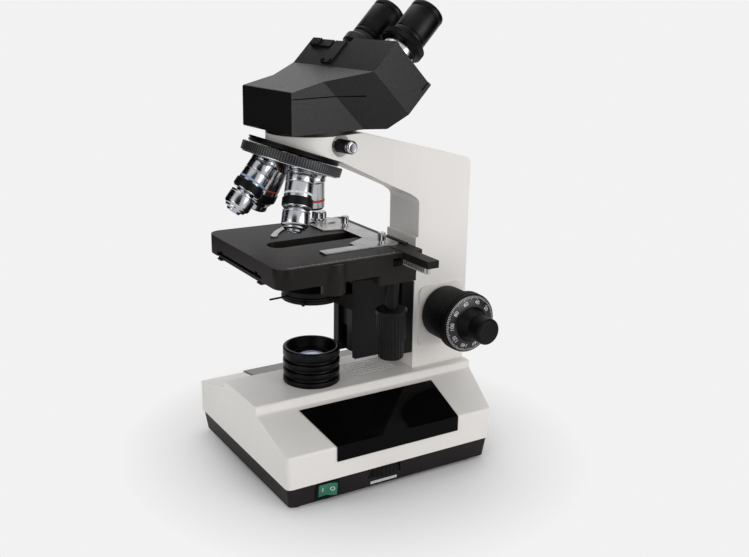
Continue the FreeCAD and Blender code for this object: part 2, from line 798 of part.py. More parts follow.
def nosepiece_ring():
    low, high = fixed_ring_d
    return on_turret(turned([(20, low), (fixed_ring_r, low), (fixed_ring_r, high - 1.2), (fixed_ring_r - 1.2, high),
                             (20, high)]))


def turret():
    low, high = ring_d
    seat_d = shoulder_s * math.cos(tilt)
    seat_out = shoulder_s * math.sin(tilt)
    # The cone runs parallel to the seats and a little behind them, so each seat stands proud
    centre_d = seat_d + seat_out * math.tan(tilt) - seat_proud / math.cos(tilt)
    skirt_d = centre_d - turret_skirt_r * math.tan(tilt)
    flat_r = turret_pivot_r
    rim = knurled(ring_r, low, high, ring_knurls, 0.9)
    cone = turned([(0, low), (ring_r - 2, low), (ring_r - 2, high), (turret_skirt_r, skirt_d),
                   (flat_r, centre_d - flat_r * math.tan(tilt)), (0, centre_d - flat_r * math.tan(tilt))])
    body = on_turret(rim.fuse(cone))
    for place in range(objective_count):
        body = body.fuse(on_objective(cylinder(seat_r, shoulder_s - 8, shoulder_s), place))
    for place in range(objective_count):
        body = body.cut(on_objective(cylinder(thread_r + thread_gap, shoulder_s - 22, shoulder_s + 1), place))
    body = body.cut(on_turret(cylinder(60, low - 20, low)))
    head_r, head_thick = turret_pivot_head
    body = body.cut(on_turret(cylinder(turret_pivot_r + shaft_gap, low - 1, centre_d + 1)))
    return body.cut(on_turret(cylinder(head_r + slide_gap, low + turret_pivot_grip - slide_gap, centre_d + 1)))


# The shouldered screw that the turret turns on
def turret_pivot():
    low = fixed_ring_d[0] - turret_pivot_depth
    seat_d = ring_d[0] + turret_pivot_grip
    r, (head_r, head_thick) = turret_pivot_r, turret_pivot_head
    shape = turned([(0, low), (r, low), (r, seat_d), (head_r, seat_d), (head_r, seat_d + head_thick),
                    (0, seat_d + head_thick)])
    return on_turret(shape)


def objective(name):
    outline = objective_profiles[name]
    length = outline[-1][0]
    s = shoulder_s
    bore = objective_bore if name in ("objective_4x", "objective_10x") else spring_nose_r - 3.0
    profile = [(bore, s - 4.6), (thread_r, s - 4.6), (thread_r, s)]
    profile += [(r, s + d) for d, r in outline]
    profile += [(bore, s + length)]
    return on_objective(turned(profile), objective_places[name])


# The sprung front of a high-power objective, which gives way on its spring
def spring_nose(name, length):
    s = shoulder_s
    start = objective_profiles[name][-1][0] + spring_travel + slide_gap
    stem = spring_nose_r - 3.0 - slide_gap
    profile = [(2.0, s + 14), (stem, s + 14), (stem, s + start), (spring_nose_r, s + start),
               (spring_nose_r, s + length - 4.6), (spring_nose_r - 2.0, s + length - 2.4), (5.4, s + length),
               (2.0, s + length)]
    return on_objective(turned(profile), objective_places[name])


# Slideway bolted to the arm, with a dovetail groove and a slot for the rack
def focus_guide():
    plate = box((guide_x, arm_front), (-guide_half, guide_half), guide_z)
    mouth, deep = dovetail_half[0] + slide_gap, dovetail_half[1] + slide_gap
    groove = slab([(guide_x - 1, -mouth), (guide_x + dovetail_depth + slide_gap, -deep),
                   (guide_x + dovetail_depth + slide_gap, deep), (guide_x - 1, mouth)],
                  (guide_z[0] - 1, guide_z[1] + 1))
    slot = box((guide_x, arm_front + 1), (-rack_half - 1.0, rack_half + 1.0), (guide_z[0] + 4, guide_z[1] + 1))
    return plate.cut(groove).cut(slot)


def stage_carrier():
    low, high = carrier_z
    body = box((carrier_x[0] + 3.2, carrier_x[1]), (-carrier_half, carrier_half), (low, high))
    front = box((carrier_x[0], carrier_x[0] + 3.3), (-carrier_half, carrier_half), (front_plate_z, high - 2))
    mouth, deep = dovetail_half
    male = slab([(carrier_x[1] - 0.1, -mouth), (guide_x + dovetail_depth, -deep), (guide_x + dovetail_depth, deep),
                 (carrier_x[1] - 0.1, mouth)], (low, guide_z[1]))
    body = body.fuse(front).fuse(male)
    # Vertical T-slot in which the condenser holder runs
    narrow, wide = condenser_slot_half
    start = carrier_x[0]
    groove = box((start - 1, start + 3.2), (-narrow - slide_gap, narrow + slide_gap), (front_plate_z - 10, high - 6))
    t_slot = box((start + 3.2, start + 3.2 + condenser_slot_depth), (-wide - slide_gap, wide + slide_gap),
                 (low - 1, high - 6))
    body = body.cut(groove).cut(t_slot)
    bore = along_y(condenser_knob_shaft_r + shaft_gap, -2, carrier_half + 1, condenser_knob_x, condenser_knob_z)
    room = along_y(condenser_pinion_r + 1.2, -4.5, 4.5, condenser_knob_x, condenser_knob_z)
    rack_way = box((start + 3.2, condenser_rack_x() + 1.0), (-4.3, 4.3), (low - 1, high - 6))
    return body.cut(bore).cut(room).cut(rack_way)


# Rack that reaches from the carrier into the arm and meets the pinion
def focus_rack():
    low, high = focus_rack_z
    line = rack_line(low, high, focus_x - pinion_r, focus_z)
    outline = [(guide_x + dovetail_depth, high), (guide_x + dovetail_depth, low)] + [(x, z) for z, x in line]
    return side_prism(outline, (-rack_half, rack_half))


def coarse_shaft():
    pinion = gear(pinion_r, -rack_half, rack_half)
    tube = cylinder(coarse_tube_r - 1.4, -drum_y[0] - 12, drum_y[0] + 12)
    ends = [cylinder(coarse_tube_r, rack_half + 2, drum_y[0] + 12), cylinder(coarse_tube_r, -drum_y[0] - 12, -rack_half - 2)]
    shape = pinion.fuse(tube).fuse(ends[0]).fuse(ends[1])
    shape = shape.cut(cylinder(fine_spindle_r + shaft_gap, -60, 60))
    return aimed(shape, (focus_x, 0, focus_z), (0, 1, 0), (0, 0, 1))


# Coarse knob: a plain drum, a knurled rim and the seat of the graduated ring
def coarse_knob(side):
    start, drum_end = drum_y
    knurl_end = knurl_y[1]
    drum = turned([(coarse_tube_r, start), (drum_r - 0.8, start), (drum_r, start + 0.8), (drum_r, drum_end),
                   (coarse_tube_r, drum_end)])
    rim = knurled(knurl_r, drum_end, knurl_end - 0.8, 40, 0.6)
    lip = turned([(0, knurl_end - 0.8), (knurl_r - 0.7, knurl_end - 0.8), (knurl_r - 0.7, dial_y[0] + 1.0),
                  (dial_r[1] + 0.1, dial_y[0] + 1.0), (dial_r[1] + 0.1, dial_y[0]), (0, dial_y[0])])
    hub = turned([(0, dial_y[0] - 1), (dial_r[0] - 0.1, dial_y[0] - 1), (dial_r[0] - 0.1, dial_y[1]),
                  (fine_r - 0.6, hub_y), (0, hub_y)])
    shape = drum.fuse(rim).fuse(lip).fuse(hub)
    shape = shape.cut(cylinder(coarse_tube_r + press_gap, start - 1, start + 12 + press_gap))
    shape = shape.cut(cylinder(fine_spindle_r + shaft_gap, start, hub_y + 1))
    return aimed(shape, (focus_x, 0, focus_z), (0, side, 0), (0, 0, 1))


# Graduated ring let into the face of the coarse knob
def dial_ring(side):
    start, end = dial_y
    ring = turned([(dial_r[0], start), (dial_r[1], start), (dial_r[1], start + 1.6), (dial_r[0], end)])
    return aimed(ring, (focus_x, 0, focus_z), (0, side, 0), (0, 0, 1))


def fine_knob(side):
    start = hub_y + slide_gap
    knob = turned([(0, start), (fine_r - 0.9, start), (fine_r, start + 1.2), (fine_r, fine_end - 1.4),
                   (fine_r - 1.4, fine_end), (0, fine_end)])
    return aimed(knob, (focus_x, 0, focus_z), (0, side, 0), (0, 0, 1))


def fine_spindle():
    reach = hub_y + slide_gap
    return along_y(fine_spindle_r, -reach, reach, focus_x, focus_z)


def condenser_rack_x():
    return condenser_knob_x - condenser_pinion_r


# Holder of the condenser: T-shaped slide, sloping arm and ring
def condenser_holder():
    narrow, wide = condenser_slot_half
    start = carrier_x[0]
    low, high = holder_slide_z
    head = box((start + 3.2 + slide_gap, start + 3.2 + condenser_slot_depth - slide_gap), (-wide, wide), (low, high))
    neck = box((start - 0.6, start + 4), (-narrow, narrow), (holder_z[0] - 12, high))
    root = start - 0.6
    web = side_prism([(8.0, holder_z[0]), (root, holder_z[0] - 12), (root, high), (8.0, high)],
                     (-condenser_web_half, condenser_web_half))
    ring = cylinder(holder_r, holder_z[0], holder_z[1])
    shape = head.fuse(neck).fuse(web).fuse(ring)
    shape = shape.cut(cylinder(condenser_body_r + thread_gap, holder_z[0] - 14, holder_z[1] + 1))
    return shape.cut(condenser_screw_hole())


def condenser_rack():
    low, high = holder_slide_z
    back = carrier_x[0] + 3.2 + condenser_slot_depth - slide_gap
    line = rack_line(low, high, condenser_rack_x(), condenser_knob_z)
    outline = [(back, high), (back, low)] + [(x, z) for z, x in line]
    return side_prism(outline, (-4.0, 4.0))


def condenser_knob():
    shaft = cylinder(condenser_knob_shaft_r, -1.9, carrier_half + 2)
    pinion = gear(condenser_pinion_r, -4.0, 4.0)
    knob = knurled(10.0, carrier_half + 2, carrier_half + 15, 24, 0.5)
    cap = turned([(0, carrier_half + 15), (9.0, carrier_half + 15), (8.2, carrier_half + 16), (0, carrier_half + 16)])
    shape = shaft.fuse(pinion).fuse(knob).fuse(cap)
    return aimed(shape, (condenser_knob_x, 0, condenser_knob_z), (0, 1, 0), (0, 0, 1))


def condenser_body():
    low, high = condenser_disc_z
    foot_z = holder_z[0]
    outside = [(condenser_body_r, foot_z), (condenser_body_r, low), (condenser_disc_r - 0.8, low),
               (condenser_disc_r, low + 0.8), (condenser_disc_r, high - 0.8), (condenser_disc_r - 0.8, high),
               (condenser_barrel_r, high + 3), (condenser_barrel_r, condenser_top - 3),
               (condenser_barrel_r - 4, condenser_top)]
    inside = [(8.0, condenser_top), (8.0, condenser_top - 3), (14.0, high + 1), (14.0, foot_z)]
    return turned(outside + inside)


def condenser_lens():
    return turned([(0, condenser_top - 3), (7.9, condenser_top - 3), (7.9, condenser_top - 0.4), (0, condenser_top)])


# Lays a shape made along +Z on the axis of the condenser's screw
def on_condenser_screw(shape):
    angle = math.radians(condenser_screw_angle)
    return aimed(shape, (0, 0, sum(holder_z) / 2), (math.cos(angle), math.sin(angle), 0), (0, 0, 1))


def condenser_screw_hole():
    return on_condenser_screw(cylinder(0.8 + thread_gap, condenser_body_r - 1, holder_r + 1))


# Small screw that holds the condenser in its ring
def condenser_screw():
    reach = holder_r
    shape = turned([(0, condenser_body_r + thread_gap), (0.8, condenser_body_r + thread_gap), (0.8, reach),
                    (1.6, reach), (1.6, reach + 2.6), (0, reach + 2.6)])
    return on_condenser_screw(shape)


# Ring under the condenser's flange with the lever that works the iris
def iris_lever():
    low, high = lever_z
    ring = turned([(condenser_body_r + slide_gap, low), (condenser_disc_r - 0.4, low), (condenser_disc_r - 0.4, high),
                   (condenser_body_r + slide_gap, high)])
    angle = math.radians(lever_angle)
    out = (math.cos(angle), math.sin(angle), 0)
    rod = turned([(0, condenser_disc_r - 2), (0.6, condenser_disc_r - 2), (0.6, condenser_disc_r + 2),
                  (0.8, condenser_disc_r + 3), (0.8, iris_lever_reach - 0.6), (0, iris_lever_reach)])
    return ring.fuse(aimed(rod, (0, 0, (low + high) / 2), out, (0, 0, 1)))


def stage_under_plate():
    low, high = carrier_z[1], carrier_z[1] + under_plate_thick
    x, y = under_plate_x, under_plate_y
    plate = slab([(x[0], y[0]), (x[1], y[0]), (x[1], y[1]), (x[0], y[1])], (low, high), 1.0)
    plate = plate.cut(cylinder(under_plate_hole, low - 1, high + 1))
    for middle in rail_y:
        plate = plate.fuse(box((x[0] + 2, x[1] - 2), (middle - rail_width / 2, middle + rail_width / 2),
                               (high, high + rail_height)))
    long, wide, thick = tab_size
    for tab in (y[0], y[1] - wide):
        plate = plate.fuse(box((x[0] - 0.8, x[0] + long), (tab, tab + wide), (low - thick, low)))
    return plate


def x_rack():
    line = rack_line(x_rack_x[0], x_rack_x[1], 0.0, knob_axis[0])
    pitch_y = knob_axis[1] + x_pinion_r
    points = [(x, pitch_y - out) for x, out in line]
    back = under_plate_y[0] + 6
    outline = [(x_rack_x[1], back), (x_rack_x[0], back)] + points
    return slab(outline, (x_rack_z[0], carrier_z[1]))


def stage_plate():
    low = stage_top - stage_thick
    x, half = stage_x, stage_half
    soft = [stage_round, 3.0, 3.0, stage_round]
    far_rear = half - stage_far_taper
    plate = slab([(x[0], -half), (x[1], -half), (x[1], far_rear), (x[0], half)], (low, stage_top), soft)
    # Half-round boss on the near side
    boss = cylinder(boss_r, boss_bottom, stage_top - 0.6, (boss_x, -half + boss_r * 0.55))
    plate = plate.fuse(boss.common(box((boss_x - 20, boss_x + 20), (-half - 10, x_rack_back() - 1), (100, 200))))
    slot_x = light_slot_x
    r = light_slot_half
    plate = plate.cut(slab([(slot_x[0], -r), (slot_x[1], -r), (slot_x[1], r), (slot_x[0], r)],
                           (low - 1, stage_top + 1), [r - 0.01, 2, 2, r - 0.01]))
    # Recess over the guide plate, with a groove for each rail
    near, far = under_plate_y[0] - slide_gap, under_plate_y[1] + slide_gap
    plate = plate.cut(box((x[0] - 1, x[1] + 1), (near, far), (low - 1, recess_top)))
    for middle in rail_y:
        wide = rail_width / 2 + slide_gap
        top = carrier_z[1] + under_plate_thick + rail_height + slide_gap
        plate = plate.cut(box((x[0] - 1, x[1] + 1), (middle - wide, middle + wide), (low - 1, top)))
    channel = box((bar_x[0] - slide_gap, bar_x[1] + slide_gap), (-half - 1, half + 1), (bar_z[0] - slide_gap, stage_top + 1))
    plate = plate.cut(channel)
    rack_room = box((bar_x[0] - gear_module - slide_gap, bar_x[0] + rack_width + slide_gap), (-half - 1, half + 1),
                    (bar_z[0] - rack_drop - slide_gap, bar_z[0]))
    plate = plate.cut(rack_room)
    pocket = cylinder(y_pinion_r + 1.2, bar_z[0] - rack_drop - slide_gap, bar_z[0] + 1.5, knob_axis)
    plate = plate.cut(pocket).cut(cylinder(knob_spindle_r + shaft_gap, low - 1, bar_z[0], knob_axis))
    # Low guide strip behind the cross bar
    return plate.fuse(box(strip_x, strip_y, (stage_top - 0.5, stage_top + strip_height)))


# Where the near edge of the boss's back must stay clear of the rack
def x_rack_back():
    return knob_axis[1] + x_pinion_r - gear_module


# Plate under the near rear corner that carries the stage knobs
def knob_bracket():
    low, high = stage_top - stage_thick - bracket_thick, stage_top - stage_thick
    x, y = bracket_x, bracket_y
    plate = slab([(x[0], y[0]), (x[1], y[0]), (x[1], y[1]), (x[0], y[1])], (low, high), [1.5, 1.5, 0, 0])
    room = cylinder(x_pinion_r + 1.3, x_rack_z[0] - 0.6, high + 1, knob_axis)
    return plate.cut(room).cut(cylinder(tube_r + shaft_gap, low - 1, high + 1, knob_axis))


def cross_bar():
    return box(bar_x, bar_y, bar_z)


def y_rack():
    line = rack_line(y_rack_y[0], y_rack_y[1], 0.0, knob_axis[1])
    pitch_x = knob_axis[0] + y_pinion_r
    points = [(pitch_x - out, y) for y, out in line]
    outline = [(bar_x[0] + rack_width, y_rack_y[1]), (bar_x[0] + rack_width, y_rack_y[0])] + points
    return slab(outline, (bar_z[0] - rack_drop, bar_z[0]))


def slide_holder():
    high = holder_low + holder_thick
    plate = slab(holder_outline, (holder_low, high), [1.5, 3, 3, 1.5, 1.5, 2, 1.5, 0.8, 0.8, 1.5])
    x, y = finger_pivot
    lug = slab([(x + 14, y - 16), (x + 16, y - 4), (x - 4, y + 9), (x - 9, y - 9), (x - 2, y - 16)],
               (high, high + lug_thick), [0, 2, 3, 2, 0])
    plate = plate.fuse(lug)
    for place in holder_screws:
        plate = plate.cut(cylinder(1.4, holder_low - 1, high, place))
    return plate.cut(cylinder(finger_pin_r + shaft_gap, holder_low - 1, high + lug_thick + 1, finger_pivot))


def holder_screw(x, y):
    z = holder_low + holder_thick
    shape = knurled(3.2, z + 1.6, z + 7.4, 12, 0.3).fuse(cylinder(2.4, z, z + 1.6))
    shape = shape.fuse(cylinder(1.4, holder_low, z + 1.6)).fuse(cylinder(2.8, z + 7.4, z + 8.0))
    shape.translate(Vector(x, y, 0))
    return shape


# Curved strip from its pivot to a round tip over the light slot's far side
def spring_finger():
    low = holder_low
    high = low + holder_thick
    px, py = finger_pivot
    tx, ty = finger_tip
    hub = cylinder(6.0, low, high, finger_pivot)
    outer = Part.Arc(Vector(px - 1, py + 6, low), Vector(5.0, 51.0, low), Vector(tx - 2.6, ty + 1.0, low))
    end = Part.Arc(Vector(tx - 2.6, ty + 1.0, low), Vector(tx - 0.6, ty - 2.6, low), Vector(tx + 2.6, ty - 0.8, low))
    inner = Part.Arc(Vector(tx + 2.6, ty - 0.8, low), Vector(4.0, 44.0, low), Vector(px - 2, py - 5, low))
    close = Part.LineSegment(Vector(px - 2, py - 5, low), Vector(px - 1, py + 6, low))
    strip = Part.Face(Part.Wire([e.toShape() for e in (outer, end, inner, close)])).extrude(Vector(0, 0, high - low))
    return hub.fuse(strip).cut(cylinder(finger_pin_r + shaft_gap, low - 1, high + 1, finger_pivot))


def finger_knob():
    z = holder_low + holder_thick + lug_thick
    shape = knurled(6.2, z + 1.0, z + 6.2, 20, 0.4).fuse(cylinder(4.4, z, z + 1.0)).fuse(cylinder(5.4, z + 6.2, z + 6.8))
    shape.translate(Vector(finger_pivot[0], finger_pivot[1], 0))
    pin = cylinder(finger_pin_r, holder_low + 0.1, z, finger_pivot)
    return shape.fuse(pin)


# Outer tube with the flange disc and the upper knob; its pinion meets the fixed rack
def upper_stage_knob():
    pinion_low, pinion_high = x_rack_z[0] - 0.2, x_rack_z[1] + 0.2
    disc_r, disc_low, disc_high = knob_disc
    r, low, high = upper_knob
    tube = cylinder(x_pinion_r - 1.0, disc_low, pinion_high).fuse(cylinder(tube_r, disc_high, pinion_low - 0.6))
    disc = turned([(0, disc_low), (disc_r, disc_low), (disc_r, disc_high - 0.8), (disc_r - 1.5, disc_high), (0, disc_high)])
    grip = knurled(r, low, high, 24, 0.5)
    shape = tube.fuse(disc).fuse(grip).fuse(gear(x_pinion_r, pinion_low, pinion_high, 0.0, x_pinion_phase))
    shape = shape.cut(cylinder(knob_spindle_r + shaft_gap, low - 1, pinion_high + 1))
    shape.translate(Vector(knob_axis[0], knob_axis[1], 0))
    return shape


def lower_stage_knob():
    r, low, high = lower_knob
    high = high - slide_gap
    pinion_low, pinion_high = bar_z[0] - rack_drop, bar_z[0] - slide_gap
    grip = knurled(r, low + 0.8, high, 22, 0.5).fuse(cylinder(r - 1, low, low + 0.8))
    shape = grip.fuse(cylinder(knob_spindle_r, high, pinion_low)).fuse(gear(y_pinion_r, pinion_low, pinion_high))
    shape.translate(Vector(knob_axis[0], knob_axis[1], 0))
    return shape


# Unit directions of the sliding face: along the eyepieces, and down across the face
eye_out = Vector(1, 0, 1).normalize()
face_down = Vector(1, 0, -1).normalize()


# A point of the sliding block: out along the eyepieces and down across the face
def block_point(out, down):
    x = slide_corner[0] + out * eye_out.x + down * face_down.x
    z = slide_corner[1] + out * eye_out.z + down * face_down.z
    return (x, z)


def head_housing():
    p1 = block_point(0, 0)
    p4 = block_point(0, slide_face)
    low_x = p4[0] - (p4[1] - head_bottom)
    rear_top = block_point(block_depth, 0)
    rear_low = block_point(block_depth, slide_face)
    side = [(head_front_x, head_bottom), (head_front_x, head_front_top), p1, rear_top, rear_low, (low_x, head_bottom)]
    body = side_prism(side, (-70, 70), [1.5, 1.5, 0, 0, 0, 2.0])
    # Plan of the housing square to the sliding face
    front_out = -90.0
    plan = [(front_out, head_front_half), (-waist_back, head_waist_half), (0, head_rear_half), (block_depth, head_rear_half)]
    points = [(out, half) for out, half in plan] + [(out, -half) for out, half in reversed(plan)]
    corner = Vector(slide_corner[0], 0, slide_corner[1])
    wire = Part.makePolygon([corner + eye_out * out + Vector(0, y, 0) - face_down * 60 for out, y in points + [points[0]]])
    flare = Part.Face(wire).extrude(face_down * 200)
    body = body.common(flare)
    flange = cylinder(collar_r, flange_z, head_bottom + 0.5)
    dovetail = turned([(0, dovetail_bottom), (dovetail_r[1] - 0.3, dovetail_bottom), (dovetail_r[0], flange_z - 0.3),
                       (dovetail_r[0], flange_z), (0, flange_z)])
    return on_head(body.fuse(flange).fuse(dovetail).cut(head_light_path()))


# The way of the light: up from the limb, then out to each eyepiece
def head_light_path():
    rise = cylinder(head_bore, dovetail_bottom - 1, head_bottom + 20)
    half = head_waist_half - 12
    chamber = side_prism([block_point(-22, 10), block_point(2, 10), block_point(2, slide_face - 10),
                          block_point(-22, slide_face - 10)], (-half, half))
    wide = head_rear_half - 12
    window = side_prism([block_point(0, 10), block_point(block_depth + 1, 10), block_point(block_depth + 1, slide_face - 10),
                         block_point(0, slide_face - 10)], (-wide, wide))
    return rise.fuse(chamber).fuse(window)


# Four corners of a plate on the sliding face, as an outline
def face_outline(out, down):
    return [block_point(out[0], down[0]), block_point(out[1], down[0]), block_point(out[1], down[1]),
            block_point(out[0], down[1])]


# Guide plate on the housing's rear face, with rails that hold the sliding plates by their edges
def head_guide():
    inner, outer = block_depth, block_depth + guide_plate
    plate = side_prism(face_outline((inner, outer), (0, slide_face)), (-head_rear_half, head_rear_half))
    hole = face_outline((inner - 1, outer + 1), (10, slide_face - 10))
    plate = plate.cut(side_prism(hole, (-head_rear_half + 12, head_rear_half - 12)))
    for side, thick in slide_thick.items():
        reach = sorted((0, side * head_rear_half))
        for down in ((0, rail_lip), (slide_face - rail_lip, slide_face)):
            plate = plate.fuse(side_prism(face_outline((outer - 0.5, outer + thick), down), reach))
    return on_head(plate)


# Lays a shape made along +Z on an eyepiece axis; its zero is the rear face of that side's sliding plate
def on_eye(shape, side):
    x, z = block_point(block_depth + guide_plate + slide_thick[side], eye_offset)
    return on_head(aimed(shape, (x, side * eye_half, z), (1, 0, 1), (0, 1, 0)))


def eye_slide(side):
    inner, outer = block_depth + guide_plate + slide_gap, block_depth + guide_plate + slide_thick[side]
    outline = face_outline((inner, outer), (rail_lip + slide_gap, slide_face - rail_lip - slide_gap))
    edge = sorted((side * slide_gap, side * (head_rear_half - 1.0)))
    plate = side_prism(outline, edge)
    x, z = block_point(inner - 1, eye_offset)
    hole = aimed(cylinder(sleeve_bore, -1, outer - inner + 3), (x, side * eye_half, z), (1, 0, 1), (0, 1, 0))
    return on_head(plate.cut(hole))


# How much further out the far tube must reach, because its plate is thinner
def far_extra():
    return slide_thick[-1] - slide_thick[1]


def eye_sleeve(side):
    foot_r_out = sleeve_r + 3.0
    seat = sleeve_r - 0.6
    if side < 0:
        profile = [(sleeve_bore, 0), (foot_r_out, 0), (foot_r_out, 2.4), (sleeve_r, 3.4), (sleeve_r, sleeve_end),
                   (seat, sleeve_end), (seat, dioptre_d[1] - 1.0), (sleeve_bore, dioptre_d[1] - 1.0)]
        return on_eye(turned(profile), side)
    start, end = [d + far_extra() for d in eye_collar_d]
    top = sleeve_end + 5.0 + far_extra()
    profile = [(sleeve_bore, 0), (foot_r_out, 0), (foot_r_out, 2.4), (sleeve_r, 3.4), (sleeve_r, start),
               (sleeve_r + 3.0, start + 1.4), (sleeve_r + 3.0, end - 1.0), (sleeve_r + 0.4, end + 1.6),
               (sleeve_r + 0.4, top), (sleeve_bore, top)]
    return on_eye(turned(profile), side)


# Knurled dioptre ring that turns on the near sleeve
def dioptre_ring():
    low, high = dioptre_d
    rim = knurled(dioptre_r, low + 1.4, high - 1.4, 32, 0.5)
    ends = turned([(0, low), (dioptre_r - 1.2, low), (dioptre_r - 0.6, low + 1.4), (dioptre_r - 0.6, high - 1.4),
                   (dioptre_r - 1.6, high), (0, high)])
    ring = rim.fuse(ends)
    return on_eye(ring.cut(cylinder(sleeve_r - 0.6 + shaft_gap, low - 1, high + 1)), -1)


# Distance from the plate at which an eyepiece's wide barrel starts and ends
def barrel_span(side):
    if side < 0:
        return dioptre_d[1] + slide_gap, eyepiece_end
    return sleeve_end + 5.0 + far_extra() + slide_gap, eyepiece_end + far_extra()


# Eyepiece: tube in the sleeve, wide barrel, rounded eye end
def eyepiece(side):
    start, end = barrel_span(side)
    tube_r_out = sleeve_bore - shaft_gap
    inner = tube_r_out - 1.2
    profile = [(inner, -2.0), (tube_r_out, -2.0), (tube_r_out, start), (eyepiece_r - 0.8, start),
               (eyepiece_r, start + 0.8), (eyepiece_r, end - 6.4), (eyepiece_r - 0.5, end - 6.4),
               (eyepiece_r - 0.5, end - 5.6), (eyepiece_r, end - 5.6), (eyepiece_r, end - 2.0), (eyepiece_r - 2.0, end),
               (eye_lens_r, end), (eye_lens_r, end - 6.0), (inner, end - 8.0)]
    return on_eye(turned(profile), side)


def eye_lens(side):
    end = barrel_span(side)[1] - 3.0
    r = eye_lens_r - shaft_gap
    return on_eye(turned([(0, end - 3.4), (r, end - 3.4), (r, end - 0.9), (0, end + 0.6)]), side)


# Bent strap on the upper face, over the sliding plates
def strap_plate():
    lift = 1.2
    top_far = block_depth + guide_plate + slide_thick[1]
    base = [block_point(3.0, 0), block_point(top_far, 0), block_point(top_far, -lift), block_point(3.0, -lift)]
    strap = side_prism(base, (4.0, 18.0))
    for down in (4.0, 14.0):
        x, z = block_point(5.6, -lift)
        screw = aimed(cylinder(1.9, 0, 1.0), (x, 4.0 + down - 0.5, z), (-1, 0, 1), (0, 1, 0))
        strap = strap.fuse(screw)
    return on_head(strap)


# Scale bar with a ribbed thumb block on the upper rail
def spacing_scale():
    low = block_depth + guide_plate - 2.0
    high = block_depth + guide_plate + slide_thick[1]
    bar = side_prism(face_outline((low, high), (-1.6, 0)), (20.0, 36.0))
    block = side_prism(face_outline((low, high), (-3.0, 0)), (36.0, 48.0))
    for i in range(4):
        start = 37.4 + i * 2.6
        block = block.cut(side_prism(face_outline((low - 1, high + 1), (-4, -2.4)), (start, start + 1.0)))
    return on_head(bar.fuse(block))


def group(shapes):
    return Part.makeCompound(shapes)


def build():
    os.makedirs("parts", exist_ok=True)
    sides = (("near", -1), ("far", 1))
    save("base_casing", base_casing())
    save("base_pan", base_pan())
    save("feet", group([foot(x, y) for x in foot_x for y in (-foot_y, foot_y)]))
    save("side_panels", group([side_panel(side) for _, side in sides]))
    save("switch_housing", switch_housing())
    save("switch_rocker", switch_rocker())
    save("brightness_wheel", brightness_wheel())
    save("dimmer_board", dimmer_board())
    save("transformer", transformer())
    save("power_inlet", power_inlet())
    save("lamp_house", lamp_house())
    save("field_lens", field_lens())
    save("collector_lens", collector_lens())
    save("lamp_socket", lamp_bracket().fuse(lamp_socket()))
    save("halogen_lamp", halogen_lamp())
    save("arm", arm())
    save("head_clamp_screw", head_clamp_screw())
    save("nosepiece_ring", nosepiece_ring())
    save("turret", turret())
    save("turret_pivot", turret_pivot())
    for name in objective_profiles:
        save(name, objective(name))
    save("spring_nose_40x", spring_nose("objective_40x", nose_40x_length))
    save("spring_nose_100x", spring_nose("objective_100x", parfocal))
    save("focus_guide", focus_guide())
    save("stage_carrier", stage_carrier())
    save("focus_rack", focus_rack())
    save("coarse_shaft", coarse_shaft())
    save("coarse_knobs", group([coarse_knob(side) for _, side in sides]))
    save("dial_rings", group([dial_ring(side) for _, side in sides]))
    save("fine_knobs", group([fine_knob(side) for _, side in sides]))
    save("fine_spindle", fine_spindle())
    save("condenser_holder", condenser_holder().fuse(condenser_rack()))
    save("condenser_knob", condenser_knob())
    save("condenser_body", condenser_body())
    save("condenser_lens", condenser_lens())
    save("condenser_screw", condenser_screw())
    save("iris_lever", iris_lever())
    save("stage_under_plate", stage_under_plate().fuse(x_rack()))
    save("stage_plate", stage_plate().fuse(knob_bracket()))
    save("cross_bar", cross_bar())
    save("cross_bar_rack", y_rack())
    save("slide_holder", slide_holder())
    save("holder_screws", group([holder_screw(x, y) for x, y in holder_screws]))
    save("spring_finger", spring_finger())
    save("finger_knob", finger_knob())
    save("upper_stage_knob", upper_stage_knob())
    save("lower_stage_knob", lower_stage_knob())
    save("head_housing", head_housing())
    save("head_guide", head_guide().fuse(spacing_scale()))
    for word, side in sides:
        save(f"eye_slide_{word}", eye_slide(side).fuse(eye_sleeve(side)))
        save(f"eyepiece_{word}", eyepiece(side))
        save(f"eye_lens_{word}", eye_lens(side))
    save("dioptre_ring", dioptre_ring())
    save("strap_plate", strap_plate())


build()
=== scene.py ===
import math

import bmesh
import bpy
import numpy as np
from mathutils import Matrix, Vector


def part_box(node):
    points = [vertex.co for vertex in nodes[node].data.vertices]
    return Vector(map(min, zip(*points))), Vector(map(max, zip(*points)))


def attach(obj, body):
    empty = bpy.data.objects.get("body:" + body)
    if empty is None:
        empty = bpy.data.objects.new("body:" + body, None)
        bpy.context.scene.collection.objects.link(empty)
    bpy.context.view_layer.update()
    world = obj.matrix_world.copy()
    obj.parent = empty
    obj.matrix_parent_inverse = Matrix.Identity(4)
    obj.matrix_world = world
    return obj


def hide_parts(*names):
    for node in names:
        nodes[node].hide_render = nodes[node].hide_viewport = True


# Binocular microscope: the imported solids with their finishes, and the details too fine for the solids.
# Lengths in the dictionaries are millimetres; Blender works in metres.

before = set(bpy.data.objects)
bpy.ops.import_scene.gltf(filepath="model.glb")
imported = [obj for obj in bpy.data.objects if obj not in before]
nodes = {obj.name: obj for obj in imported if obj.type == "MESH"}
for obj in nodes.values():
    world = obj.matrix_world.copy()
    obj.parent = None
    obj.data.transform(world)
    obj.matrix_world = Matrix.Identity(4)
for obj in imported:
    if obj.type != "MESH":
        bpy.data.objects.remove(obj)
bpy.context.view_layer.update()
mm = 0.001
spotScale = 500  # over a size in mm, the Scale of a noise or cell pattern whose spots are about that wide


def linear(hexColour):
    channels = [int(hexColour[i:i + 2], 16) / 255 for i in (1, 3, 5)]
    return tuple(c / 12.92 if c <= 0.04045 else ((c + 0.055) / 1.055) ** 2.4 for c in channels) + (1.0,)


